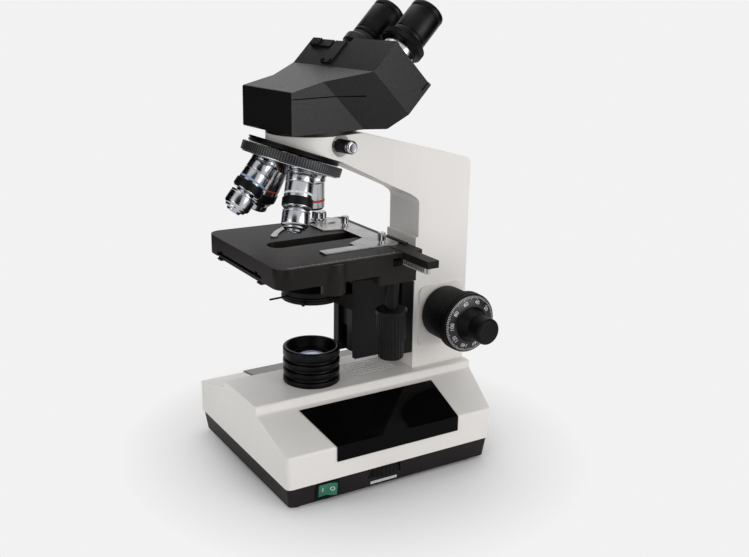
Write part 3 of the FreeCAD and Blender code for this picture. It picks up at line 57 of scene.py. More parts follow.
# Adds one shader node; an input that is a socket is linked, any other value is set
def addNode(tree, kind, inputs=None, **settings):
    node = tree.nodes.new("ShaderNode" + kind)
    for key, value in settings.items():
        setattr(node, key, value)
    for key, value in (inputs or {}).items():
        if isinstance(value, bpy.types.NodeSocket):
            tree.links.new(value, node.inputs[key])
        else:
            node.inputs[key].default_value = value
    return node


def emptyMaterial(name):
    material = bpy.data.materials.new(name)
    material.use_nodes = True
    material.node_tree.nodes.clear()
    return material, material.node_tree


# Finishes. Each is one principled shader with up to three fine patterns, all of them noise:
#   tone   size in mm, detail, low, high                      mixes the two tones
#   gloss  size in mm, detail, rough, low, high, from, to     drives the roughness (or one plain number)
#   relief size in mm, detail, rough, depth in mm             drives the bump
# On turned pieces gloss and relief run as rings, along the piece's own length map.
def makeFinish(name, tones, tone, gloss, relief=None, turned=False, glow=0.0, uniform=None):
    material, tree = emptyMaterial(name)
    place = addNode(tree, "TexCoord").outputs["Object"]
    lines = place
    if turned:
        length = addNode(tree, "SeparateXYZ", {0: addNode(tree, "UVMap", uv_map="turned").outputs["UV"]})
        lines = addNode(tree, "CombineXYZ", {"X": length.outputs["Y"]}).outputs["Vector"]
    inputs = dict(uniform or {})

    size, detail, low, high = tone
    spots = addNode(tree, "TexNoise", {"Vector": place, "Scale": spotScale / size, "Detail": detail})
    share = addNode(tree, "MapRange", {"Value": spots.outputs["Fac"], "From Min": low, "From Max": high})
    mixed = addNode(tree, "Mix", {0: share.outputs["Result"], 6: linear(tones[0]), 7: linear(tones[1])},
                    data_type="RGBA")
    inputs["Base Color"] = mixed.outputs[2]
    if glow:
        inputs["Emission Color"] = mixed.outputs[2]
        inputs["Emission Strength"] = glow

    inputs["Roughness"] = gloss
    if isinstance(gloss, tuple):
        size, detail, rough, low, high, first, last = gloss
        spots = addNode(tree, "TexNoise", {"Vector": lines, "Scale": spotScale / size, "Detail": detail,
                                           "Roughness": rough})
        uneven = addNode(tree, "MapRange", {"Value": spots.outputs["Fac"], "From Min": low, "From Max": high,
                                            "To Min": first, "To Max": last})
        inputs["Roughness"] = uneven.outputs["Result"]
    if relief:
        size, detail, rough, depth = relief
        spots = addNode(tree, "TexNoise", {"Vector": lines, "Scale": spotScale / size, "Detail": detail,
                                           "Roughness": rough})
        raised = addNode(tree, "Bump", {"Height": spots.outputs["Fac"], "Distance": depth * mm,
                                        "Strength": 1.0})
        inputs["Normal"] = raised.outputs["Normal"]
    shader = addNode(tree, "BsdfPrincipled", inputs)
    addNode(tree, "OutputMaterial", {"Surface": shader.outputs["BSDF"]})
    return material


# A coloured finish with one grain that shows both in its gloss and in its relief
def makeGrained(name, tones, grainMm, depth, gloss, shine):
    return makeFinish(name, tones, (25.0, 2.0, 0.3, 0.7), (grainMm, 3.0, 0.6, 0.3, 0.7, *gloss),
                      (grainMm, 3.0, 0.6, depth), uniform={"Specular IOR Level": shine})


# Bare or plated metal with fine lines; its two tones drift over a few millimetres, as handling leaves them
def makeMetal(name, tones, gloss, lineMm, depth, turned=False):
    detail = 3.0 if turned else 2.0
    return makeFinish(name, tones, (6.0, 2.0, 0.3, 0.7), (lineMm, detail, 0.5, 0.3, 0.7, *gloss),
                      (lineMm, detail, 0.5, depth), turned, uniform={"Metallic": 1.0})


# Clear glass with a coating and a trace of dust, which whitens and dulls it in spots
def makeGlass(name, colour, roughness):
    return makeFinish(name, (colour, "#FFFFFF"), (0.7, 3.0, 0.45, 0.8),
                      (0.7, 3.0, 0.5, 0.45, 0.8, roughness, roughness + 0.06),
                      uniform={"IOR": 1.52, "Transmission Weight": 1.0, "Coat Weight": 0.3,
                               "Coat Tint": linear("#E6EBFF")})


# Enamel paint filled into engraved marks, worn paler or darker in spots
def makePaint(name, colour, fade, shine=0.5):
    return makeFinish(name, (colour, fade), (1.2, 3.0, 0.35, 0.75), 0.5,
                      uniform={"Specular IOR Level": shine})


# Wrinkle lacquer: paint that shrinks as it bakes and leaves small raised worms, which catch the light. Their
# crests are painted a little lighter and the valleys between them darker, as painted light and shade
wrinkleLook = {"valley": "#100F10", "crest": "#1A1819", "wormMm": 0.55, "bendMm": 0.6, "bendSpotMm": 5 / 7,
               "depth": 0.05, "gloss": (0.44, 0.32), "shine": 0.3}


def makeWrinkle():
    look = wrinkleLook
    material, tree = emptyMaterial("wrinkleLacquer")
    place = addNode(tree, "TexCoord").outputs["Object"]
    warp = addNode(tree, "TexNoise", {"Vector": place, "Scale": spotScale / look["bendSpotMm"],
                                      "Detail": 2.0})
    bend = addNode(tree, "VectorMath", {0: warp.outputs["Color"], "Scale": look["bendMm"] * mm},
                   operation="SCALE")
    moved = addNode(tree, "VectorMath", {0: place, 1: bend.outputs["Vector"]}, operation="ADD")
    worms = addNode(tree, "TexVoronoi", {"Vector": moved.outputs["Vector"],
                                         "Scale": spotScale / look["wormMm"]}, feature="SMOOTH_F1")
    height = addNode(tree, "MapRange", {"Value": worms.outputs["Distance"],
                                        "From Min": 0.1, "From Max": 0.75}).outputs["Result"]
    # Painted light and shade: the tone follows the height of the worms, lighter on the crests, darker in the
    # valleys
    tone = addNode(tree, "Mix", {0: height, 6: linear(look["valley"]), 7: linear(look["crest"])},
                   data_type="RGBA")
    gloss = addNode(tree, "MapRange", {"Value": height,
                                       "To Min": look["gloss"][0], "To Max": look["gloss"][1]})
    raised = addNode(tree, "Bump", {"Height": height, "Distance": look["depth"] * mm, "Strength": 1.0})
    shader = addNode(tree, "BsdfPrincipled", {"Base Color": tone.outputs[2],
                                              "Roughness": gloss.outputs["Result"],
                                              "Normal": raised.outputs["Normal"],
                                              "Specular IOR Level": look["shine"]})
    addNode(tree, "OutputMaterial", {"Surface": shader.outputs["BSDF"]})
    return material


# Knurled brass, blackened: the crests of the turret's 120 teeth are painted lighter than the valleys between
# them, in random patches: painted highlight on the crests, painted shade in the valleys
turretTeeth = {"count": 120, "valley": "#050505", "crest": "#57575A", "gloss": (0.5, 0.28), "shine": 0.4,
               "crestPatchMm": 7.0, "crestPatches": (0.45, 1.0)}


def makeTurretKnurl():
    look = turretTeeth
    material, tree = emptyMaterial("knurledBrassPaintedCrests")
    place = addNode(tree, "TexCoord").outputs["Object"]
    turned = addNode(tree, "UVMap", uv_map="turned").outputs["UV"]
    around = addNode(tree, "SeparateXYZ", {0: turned}).outputs["X"]
    turn = addNode(tree, "Math", {0: around, 1: 2 * math.pi * look["count"]},
                   operation="MULTIPLY").outputs[0]
    wave = addNode(tree, "Math", {0: turn}, operation="COSINE").outputs[0]
    tooth = addNode(tree, "MapRange", {"Value": wave, "From Min": -0.1, "From Max": 0.9}).outputs["Result"]
    spots = addNode(tree, "TexNoise", {"Vector": place, "Scale": spotScale / look["crestPatchMm"], "Detail": 2.0})
    crestPatches = addNode(tree, "MapRange", {"Value": spots.outputs["Fac"], "From Min": 0.3, "From Max": 0.7,
                                      "To Min": look["crestPatches"][0], "To Max": look["crestPatches"][1]})
    # Painted highlight and shade: crests light and valleys dark, in step with the teeth and patchy at random
    crestLight = addNode(tree, "Math", {0: tooth, 1: crestPatches.outputs["Result"]}, operation="MULTIPLY").outputs[0]
    tone = addNode(tree, "Mix", {0: crestLight, 6: linear(look["valley"]), 7: linear(look["crest"])},
                   data_type="RGBA")
    gloss = addNode(tree, "MapRange", {"Value": crestLight,
                                       "To Min": look["gloss"][0], "To Max": look["gloss"][1]})
    shader = addNode(tree, "BsdfPrincipled", {"Base Color": tone.outputs[2],
                                              "Roughness": gloss.outputs["Result"],
                                              "Specular IOR Level": look["shine"]})
    addNode(tree, "OutputMaterial", {"Surface": shader.outputs["BSDF"]})
    return material


# Baked enamel on cast aluminium: a hard white skin with a faint orange peel and a soft gloss
whiteEnamel = makeFinish("bakedWhiteEnamel", ("#E9E6E3", "#E1DEDA"), (60.0, 2.0, 0.35, 0.7),
                         (9.0, 2.0, 0.5, 0.3, 0.7, 0.32, 0.42), (1.1, 1.0, 0.5, 0.012),
                         uniform={"Specular IOR Level": 0.3})
wrinkle = makeWrinkle()
turretKnurl = makeTurretKnurl()
# Satin stoving enamel on stage and pan: smooth, warm black, a low sheen from its fine texture
stageEnamel = makeGrained("satinStovingEnamel", ("#1A1615", "#221E1D"), 0.5, 0.012, (0.36, 0.48), 0.1)
panEnamel = makeGrained("panStovingEnamel", ("#171415", "#1E1A1B"), 0.7, 0.02, (0.42, 0.55), 0.16)
# Cast acrylic sheet: deep black and mirror smooth
acrylic = makeGrained("castAcrylicSheet", ("#060606", "#090909"), 4.0, 0.002, (0.05, 0.1), 0.05)
# Black anodised aluminium: dull metal black with a fine matt etch
anodised = makeGrained("blackAnodisedAluminium", ("#0B0B0C", "#111112"), 0.35, 0.008, (0.33, 0.48), 0.13)
# Moulded ABS: spark-eroded grain, half matt
moulded = makeGrained("mouldedAbs", ("#09090A", "#0E0E0F"), 0.6, 0.012, (0.38, 0.52), 0.12)
# Moulded nitrile rubber: dead matt, so that the feet show almost no highlight
rubber = makeGrained("nitrileRubber", ("#0E0E0E", "#151515"), 0.8, 0.03, (0.7, 0.85), 0.2)
# Stacked iron sheets under varnish: brown black with an amber gloss
laminations = makeGrained("varnishedIronCore", ("#2C2723", "#3A332C"), 0.5, 0.05, (0.4, 0.6), 0.5)
# Epoxy glass board under solder mask: the usual green, half glossy
circuitBoard = makeGrained("epoxyGlassBoard", ("#1E5A33", "#256B3D"), 1.5, 0.02, (0.3, 0.45), 0.5)
# Glazed steatite: a creamy ceramic with a wet gloss
steatite = makeGrained("glazedSteatite", ("#DEDAD0", "#E8E4DA"), 1.5, 0.01, (0.2, 0.3), 0.5)
# Chrome plate over turned brass: fine rings from the tool under a bright skin
chrome = makeMetal("polishedChromePlate", ("#B4B5B8", "#C6C7C9"), (0.1, 0.2), 0.35, 0.001)
turnedChrome = makeMetal("turnedChromePlate", ("#AEB0B4", "#C2C4C8"), (0.12, 0.26), 0.25, 0.0015, True)
# Brushed stainless sheet: greyer than chrome, its reflections blurred
brushed = makeMetal("brushedStainless", ("#9C9C9E", "#B2B2B3"), (0.24, 0.38), 0.4, 0.003)
# Turned and chemically blackened: dark metal that still shows the rings of the lathe
turnedBlack = makeMetal("turnedAndBlackened", ("#1B1B1C", "#262627"), (0.28, 0.46), 0.3, 0.003, True)
# Dyed aluminium dial: rings of the lathe under a thin dye, grey where it faces the light
dialMetal = makeMetal("dyedAluminiumDial", ("#2E2E30", "#3A3A3C"), (0.26, 0.4), 0.3, 0.004, True)
# Machined brass: warm yellow with tool marks
brass = makeMetal("machinedBrass", ("#C7A45A", "#D2B26C"), (0.2, 0.34), 0.4, 0.003)
# Optical crown glass and the lamp's quartz, both clear
lensGlass = makeGlass("coatedCrownGlass", "#EEF3FF", 0.02)
bulbGlass = makeGlass("quartzGlass", "#FFFFFF", 0.05)
# Ground glass: milky, with a faint painted glow that stands in for the lamp's light reaching it through the
# lens
groundGlassPaintedGlow = makeFinish("groundGlassPaintedGlow", ("#C6C9CC", "#B2B6BA"), (3.0, 2.0, 0.3, 0.7), 0.7, glow=0.45)
# Tinted polycarbonate over a neon lamp: clear green in two tones that drift at random in spots, with a faint
# glow from the lamp
greenLens = makeFinish("tintedPolycarbonate", ("#04503C", "#0B7C5C"), (6.0, 1.0, 0.3, 0.7), 0.12,
                       (3.0, 1.0, 0.5, 0.01), glow=0.12,
                       uniform={"Coat Weight": 0.5, "Transmission Weight": 0.15})
whitePaint = makePaint("whiteFillPaint", "#E9E8E4", "#C9C8C4")
redPaint = makePaint("redFillPaint", "#B8242B", "#9A1C22")
orangePaint = makePaint("orangeFillPaint", "#C2552F", "#A54526")
bluePaint = makePaint("blueFillPaint", "#86A3C4", "#6F8FB4")
silverPaint = makePaint("silverMarkPaint", "#C9CACC", "#B5B6B8")
# The shadow in a seam: no gloss at all
darkPaint = makePaint("seamShadow", "#030303", "#050505", 0.0)
print("stage: materials made")

# Finish of every solid; those that a piece below stands for keep theirs out of sight
finishes = {
    whiteEnamel: ["base_casing", "arm"],
    panEnamel: ["base_pan"],
    acrylic: ["side_panels"],
    rubber: ["feet"],
    moulded: ["switch_housing", "brightness_wheel", "power_inlet", "coarse_knobs", "fine_knobs",
              "condenser_knob"],
    greenLens: ["switch_rocker"],
    circuitBoard: ["dimmer_board"],
    laminations: ["transformer"],
    steatite: ["lamp_socket"],
    lensGlass: ["field_lens", "collector_lens", "condenser_lens", "eye_lens_near", "eye_lens_far"],
    bulbGlass: ["halogen_lamp"],
    anodised: ["lamp_house", "nosepiece_ring", "focus_guide", "stage_carrier", "dial_rings",
               "condenser_holder", "condenser_body", "condenser_screw", "iris_lever", "stage_under_plate",
               "upper_stage_knob", "lower_stage_knob", "eyepiece_near", "eyepiece_far", "dioptre_ring"],
    stageEnamel: ["stage_plate", "cross_bar"],
    chrome: ["head_clamp_screw", "turret", "objective_4x", "objective_10x", "objective_40x",
             "objective_100x", "spring_nose_40x", "spring_nose_100x", "holder_screws", "finger_knob"],
    brushed: ["cross_bar_rack", "slide_holder", "spring_finger", "turret_pivot", "coarse_shaft",
              "fine_spindle"],
    brass: ["focus_rack"],
    wrinkle: ["head_housing", "head_guide", "eye_slide_near", "eye_slide_far", "strap_plate"],
}
for material, names in finishes.items():
    for name in names:
        nodes[name].data.materials.clear()
        nodes[name].data.materials.append(material)
print("stage: solids finished", sum(len(names) for names in finishes.values()), "of", len(nodes))

# Pressed, cast and cut edges are never knife sharp: a small chamfer catches the light along them
softEdges = {"base_casing": 0.9, "base_pan": 0.5, "side_panels": 0.35, "stage_plate": 0.6}
for name, width in softEdges.items():
    weld = nodes[name].modifiers.new("weld", "WELD")
    weld.merge_threshold = 1e-6
    chamfer = nodes[name].modifiers.new("softEdge", "BEVEL")
    chamfer.width = width * mm
    chamfer.segments = 2
    chamfer.limit_method = "ANGLE"
    chamfer.angle_limit = math.radians(28)
    chamfer.harden_normals = True


# A right-handed place: the piece's own Z along direction, its X towards across
def placeAlong(origin, direction, across):
    z = Vector(direction).normalized()
    x = Vector(across)
    x = (x - z * x.dot(z)).normalized()
    matrix = Matrix((x, z.cross(x), z)).transposed().to_4x4()
    matrix.translation = Vector(origin)
    return matrix


# A place in metres, for a mesh that is already in metres
def inMetres(place):
    scaled = place.copy()
    scaled.translation = place.translation * mm
    return scaled


# Puts a mesh in its place, merges its poles, marks its sharp edges and lets it ride on its body
def finishPiece(name, mesh, place, material, body, replaces=(), sharp=40.0):
    work = bmesh.new()
    work.from_mesh(mesh)
    bmesh.ops.remove_doubles(work, verts=work.verts, dist=1e-7)
    bmesh.ops.dissolve_degenerate(work, edges=work.edges, dist=1e-8)
    work.to_mesh(mesh)
    work.free()
    if place is not None:
        mesh.transform(inMetres(place))
    mesh.polygons.foreach_set("use_smooth", [True] * len(mesh.polygons))
    mesh.set_sharp_from_angle(angle=math.radians(sharp))
    mesh.materials.append(material)
    piece = bpy.data.objects.new(name, mesh)
    bpy.context.scene.collection.objects.link(piece)
    if replaces:
        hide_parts(*replaces)
    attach(piece, body)
    return piece


# Rounds each inner corner of a (radius, height) line with a short parabola through three points
def softProfile(points, radius):
    line = np.array(points, float)
    out = [line[0]]
    for before, corner, after in zip(line[:-2], line[1:-1], line[2:]):
        back, ahead = before - corner, after - corner
        backLong, aheadLong = np.linalg.norm(back), np.linalg.norm(ahead)
        reach = min(radius, 0.45 * backLong, 0.45 * aheadLong)
        start, end = corner + back / backLong * reach, corner + ahead / aheadLong * reach
        out += [start, 0.25 * start + 0.5 * corner + 0.25 * end, end]
    out.append(line[-1])
    return np.array(out)


# Splits the line so that no step between two heights is longer than the given one
def finerProfile(line, step, low, high):
    out = [line[0]]
    for first, last in zip(line[:-1], line[1:]):
        inside = min(first[1], last[1]) >= low - 1e-6 and max(first[1], last[1]) <= high + 1e-6
        count = max(1, int(np.ceil(np.linalg.norm(last - first) / step))) if inside else 1
        out += [first + (last - first) * (i + 1) / count for i in range(count)]
    return np.array(out)


# The line is carried round the Z axis: x = r cos t, y = r sin t, z = h, with r less the relief(t, h).
# A point on the axis is one pole vertex, so the surface is closed there. Its map: turns round, metres along.
def lathe(name, points, place, material, body, softness=0.25, segments=96, relief=None, replaces=()):
    line = softProfile(points, softness)
    if relief:
        line = finerProfile(line, relief["step"], relief["low"], relief["high"])
    radius, height = line[:, 0], line[:, 1]
    along = np.concatenate(([0.0], np.cumsum(np.linalg.norm(np.diff(line, axis=0), axis=1))))
    angle = np.arange(segments) * 2 * np.pi / segments
    spread = np.repeat(radius[:, None], segments, 1)
    if relief:
        inside = (height >= relief["low"] - 1e-6) & (height <= relief["high"] + 1e-6)
        valley = relief["depth"] * relief["shape"](angle[None, :], height[:, None])
        spread = spread - np.where(inside[:, None], valley, 0.0)
    grid = np.stack([spread * np.cos(angle), spread * np.sin(angle),
                     np.repeat(height[:, None], segments, 1)], 2)
    starts = np.arange(len(line))[:, None] * segments
    around = np.arange(segments)[None, :]
    here = starts[:-1] + around
    following = starts[:-1] + (around + 1) % segments
    quads = np.stack([here, following, following + segments, here + segments], 2).reshape(-1, 4)
    mesh = bpy.data.meshes.new(name)
    mesh.from_pydata((grid.reshape(-1, 3) * mm).tolist(), [], quads.tolist())
    u = np.stack([around, around + 1, around + 1, around], 2) / segments * np.ones((len(line) - 1, 1, 1))
    v = np.stack([along[:-1], along[:-1], along[1:], along[1:]], 1)[:, None, :] * mm
    v = v * np.ones((1, segments, 1))
    mesh.uv_layers.new(name="turned").data.foreach_set("uv", np.stack([u, v], 3).reshape(-1))
    return finishPiece(name, mesh, place, material, body, replaces)


# Reliefs for lathe: each gives 0 on the crest and 1 in the valley, for an angle t and a height h
def straightRibs(count):
    return lambda t, h: np.abs(np.sin(count * t / 2)) + 0 * h


def diamondKnurl(count, pitch):
    turns = 2 * np.pi / pitch
    return lambda t, h: 0.5 * (np.abs(np.sin((count * t + turns * h) / 2))
                               + np.abs(np.sin((count * t - turns * h) / 2)))


# Two rows of straight teeth with a plain groove between them
def toothRows(count, middle, halfGroove):
    return lambda t, h: np.maximum(np.abs(np.sin(count * t / 2)) ** 3, np.abs(h - middle) < halfGroove)


# Thin bars: one flat box each, from a middle, two half-size vectors and a height vector, all as arrays
def bars(name, middles, halfLong, halfWide, rise, material, body):
    shape = np.shape(middles)
    middles, halfLong, halfWide, rise = [np.broadcast_to(np.array(each, float), shape)
                                         for each in (middles, halfLong, halfWide, rise)]
    corners = [middles + sx * halfLong + sy * halfWide + sz * rise
               for sz in (0, 1) for sx, sy in ((-1, -1), (1, -1), (1, 1), (-1, 1))]
    points = np.stack(corners, 1).reshape(-1, 3)
    faces = np.array([(3, 2, 1, 0), (4, 5, 6, 7), (0, 1, 5, 4), (1, 2, 6, 5), (2, 3, 7, 6), (3, 0, 4, 7)])
    faces = (np.arange(len(middles))[:, None, None] * 8 + faces[None]).reshape(-1, 4)
    mesh = bpy.data.meshes.new(name)
    mesh.from_pydata((points * mm).tolist(), [], faces.tolist())
    work = bmesh.new()
    work.from_mesh(mesh)
    bmesh.ops.recalc_face_normals(work, faces=work.faces)
    work.to_mesh(mesh)
    work.free()
    return finishPiece(name, mesh, None, material, body)


# Plain numbers or marks set as thin solid letters, each at its own place, joined into one piece
def letters(name, words, size, thick, material, body):
    points, faces = [], []
    for word, place in words:
        curve = bpy.data.curves.new(name, "FONT")
        curve.body = word
        curve.size = size * mm
        curve.extrude = thick * mm / 2
        curve.align_x = "CENTER"
        curve.align_y = "CENTER"
        curve.resolution_u = 3
        holder = bpy.data.objects.new(name, curve)
        bpy.context.scene.collection.objects.link(holder)
        bpy.context.view_layer.update()
        mesh = bpy.data.meshes.new_from_object(holder.evaluated_get(bpy.context.evaluated_depsgraph_get()))
        bpy.data.objects.remove(holder)
        mesh.transform(inMetres(place))
        count = len(points)
        points += [tuple(vertex.co) for vertex in mesh.vertices]
        faces += [[i + count for i in face.vertices] for face in mesh.polygons]
    joined = bpy.data.meshes.new(name)
    joined.from_pydata(points, [], faces)
    return finishPiece(name, joined, None, material, body)


# Turret and objectives, all on axes that meet at the apex above the limb; distances run down from it
turretSizes = {"tilt": 19.2, "apex": 298.8, "ringR": 39.2, "ring": (47.7, 54.9), "gripProud": 0.55,
               "gripDepth": 0.5, "fixedR": 36.0, "fixed": (42.8, 47.3), "fixedBore": 21.0, "shoulder": 63.5,
               "count": 4}
tilt = math.radians(turretSizes["tilt"])
apex = Vector((0, 0, turretSizes["apex"]))
turretDown = Vector((-math.sin(tilt), 0, -math.cos(tilt)))
turretAcross = Vector((math.cos(tilt), 0, -math.sin(tilt)))
turretPlace = placeAlong(apex, turretDown, turretAcross)


def objectivePlace(index):
    angle = 2 * math.pi * index / turretSizes["count"]
    out = turretAcross * math.cos(angle) + Vector((0, -1, 0)) * math.sin(angle)
    direction = turretDown * math.cos(tilt) + out * math.sin(tilt)
    return placeAlong(apex + direction * turretSizes["shoulder"], direction, (0.3, 1, 0))


ringR, (low, high), proud = turretSizes["ringR"], turretSizes["ring"], turretSizes["gripProud"]
teeth = {"low": low + 0.8, "high": high - 0.8, "depth": turretSizes["gripDepth"], "step": 0.35,
         "shape": toothRows(turretTeeth["count"], (low + high) / 2, 0.35)}
lathe("turretGrip", [(ringR - 3.0, low + 0.05), (ringR + 0.1, low + 0.05), (ringR + proud, low + 0.5),
                     (ringR + proud, high - 0.5), (ringR + 0.1, high + 0.02), (ringR - 3.0, high + 0.02)],
      turretPlace, turretKnurl, "nosepiece", segments=960, relief=teeth)
lathe("turretBright", [(ringR - 2.6, high), (ringR - 0.7, high), (ringR - 0.9, high + 0.9),
                       (ringR - 2.6, high + 1.1)],
      turretPlace, turnedChrome, "nosepiece")
bore, fixedR, (low, high) = turretSizes["fixedBore"], turretSizes["fixedR"], turretSizes["fixed"]
lathe("nosepieceRim", [(bore, low + 0.02), (fixedR + 0.1, low + 0.02), (fixedR + 0.1, low + 1.4),
                       (fixedR - 0.5, low + 1.7), (fixedR - 0.5, low + 2.2), (fixedR + 0.1, low + 2.5),
                       (fixedR + 0.1, high - 1.1), (fixedR - 1.1, high), (bore, high)],
      turretPlace, turnedBlack, "stand", segments=160, replaces=["nosepiece_ring"])

# Outlines below the shoulder as (radius, distance); painted ring and knurled grip as (radius, from, to)
objectiveLooks = {
    "4x": {"index": 0, "ring": (10.7, 17.5, 19.5, redPaint), "glass": (7.0, 23.5),
           "barrel": [(11.4, 0), (11.4, 4.0), (10.7, 4.6), (10.7, 24.0), (9.6, 25.7), (6.0, 25.7)]},
    "10x": {"index": 3, "ring": (11.4, 18.0, 19.2, orangePaint), "grip": (12.0, 22.6, 29.6),
            "glass": (4.6, 38.2),
            "barrel": [(11.4, 0), (11.4, 16.0), (11.4, 22.6), (11.4, 29.6), (10.6, 30.4), (10.2, 31.6),
                       (8.6, 34.4), (8.6, 38.4), (7.4, 39.4), (4.4, 39.4)]},
    "40x": {"index": 2, "ring": (10.9, 16.4, 18.0, bluePaint), "grip": (11.8, 19.2, 25.6), "nose": 44.4,
            "barrel": [(10.9, 0), (10.9, 9.0), (10.6, 9.3), (10.6, 9.6), (10.9, 9.9), (10.9, 19.2),
                       (10.9, 25.6), (10.9, 26.4), (10.5, 26.8), (7.6, 26.8)]},
    "100x": {"index": 1, "ring": (10.9, 15.6, 17.2, whitePaint), "grip": (11.8, 19.4, 25.8), "nose": 45.0,
             "barrel": [(10.9, 0), (10.9, 7.6), (10.6, 7.9), (10.6, 8.2), (10.9, 8.5), (10.9, 19.4),
                        (10.9, 25.8), (10.9, 26.4), (10.5, 26.8), (7.6, 26.8)]},
}
objectiveThread = {"r": 10.05, "top": -4.6}
springNose = {"seam": 26.8, "travel": 1.8, "gap": 0.3, "tubeR": 7.2, "tubeTop": 14.0, "r": 10.5,
              "boreR": 2.0}
for word, look in objectiveLooks.items():
    place = objectivePlace(look["index"])
    threadR, top = objectiveThread["r"], objectiveThread["top"]
    bore, end = look["barrel"][-1]
    outline = [(threadR, top), (threadR, 0)] + look["barrel"]
    outline += [(bore, end - 6), (bore, top), (threadR, top)]
    lathe("barrel" + word, outline, place, turnedChrome, "nosepiece", 0.35,
          replaces=["objective_" + word])
    r, low, high, paint = look["ring"]
    lathe("ring" + word, [(r - 0.3, low), (r + 0.04, low), (r + 0.04, high), (r - 0.3, high)], place, paint,
          "nosepiece", 0.05)
    if "grip" in look:
        r, low, high = look["grip"]
        knurl = {"low": low + 0.8, "high": high - 0.8, "depth": 0.35, "step": 0.4,
                 "shape": diamondKnurl(64, 1.2)}
        lathe("grip" + word, [(r - 1.6, low), (r - 0.5, low), (r, low + 0.5), (r, high - 0.5),
                              (r - 0.5, high), (r - 1.6, high)], place, anodised, "nosepiece",
              0.1, 256, knurl)
    if "glass" in look:
        r, seat = look["glass"]
        lathe("front" + word, [(0, seat - 2.5), (r - 0.2, seat - 2.5), (r - 0.2, seat), (0, seat + 0.6)],
              place, lensGlass, "nosepiece")
    if "nose" in look:
        body = "sprung nose " + word
        end, r, tubeR, tubeTop = look["nose"], springNose["r"], springNose["tubeR"], springNose["tubeTop"]
        start = springNose["seam"] + springNose["travel"] + springNose["gap"]
        nose = [(tubeR, tubeTop), (tubeR, start), (r, start), (r, start + 1.0), (r - 0.3, start + 1.3),
                (r - 0.3, start + 1.6), (r, start + 1.9), (r, end - 5.6), (9.6, end - 4.4),
                (8.4, end - 3.6), (8.2, end - 2.4), (5.8, end - 1.6), (5.4, end), (2.2, end),
                (springNose["boreR"], end - 0.6), (springNose["boreR"], tubeTop), (tubeR, tubeTop)]
        lathe("nose" + word, nose, place, turnedChrome, body, 0.4,
              replaces=["spring_nose_" + word])
        lathe("front" + word, [(0, end - 2.2), (1.9, end - 2.2), (1.9, end - 0.5), (0, end - 0.25)], place,
              lensGlass, body)
print("stage: turret and objectives made")

# Focus knobs: ribbed drum with a wider rim, graduated ring, hub and fine knob, the same on both sides
focusSizes = {"x": 113.5, "z": 113.4, "boreR": 6.0, "drumR": 22.2, "drumStart": 24.2, "drumEnd": 50.5,
              "rimR": 25.0, "rimEnd": 59.5, "hubEnd": 72.0, "fineR": 10.9, "fineEnd": 86.0, "spindleR": 2.6,
              "ribs": 84}
# Its dial is a shallow cone; numbers stand with their tops outwards, ten of them, 20 apart
dialSizes = {"inR": 14.6, "outR": 23.6, "end": 63.5, "edge": 1.6, "ticks": 100, "tickHalf": (0.9, 1.3),
             "tickHalfWide": 0.16, "labels": 10, "labelStep": 20, "digit": 4.6, "digitIn": 5.3}


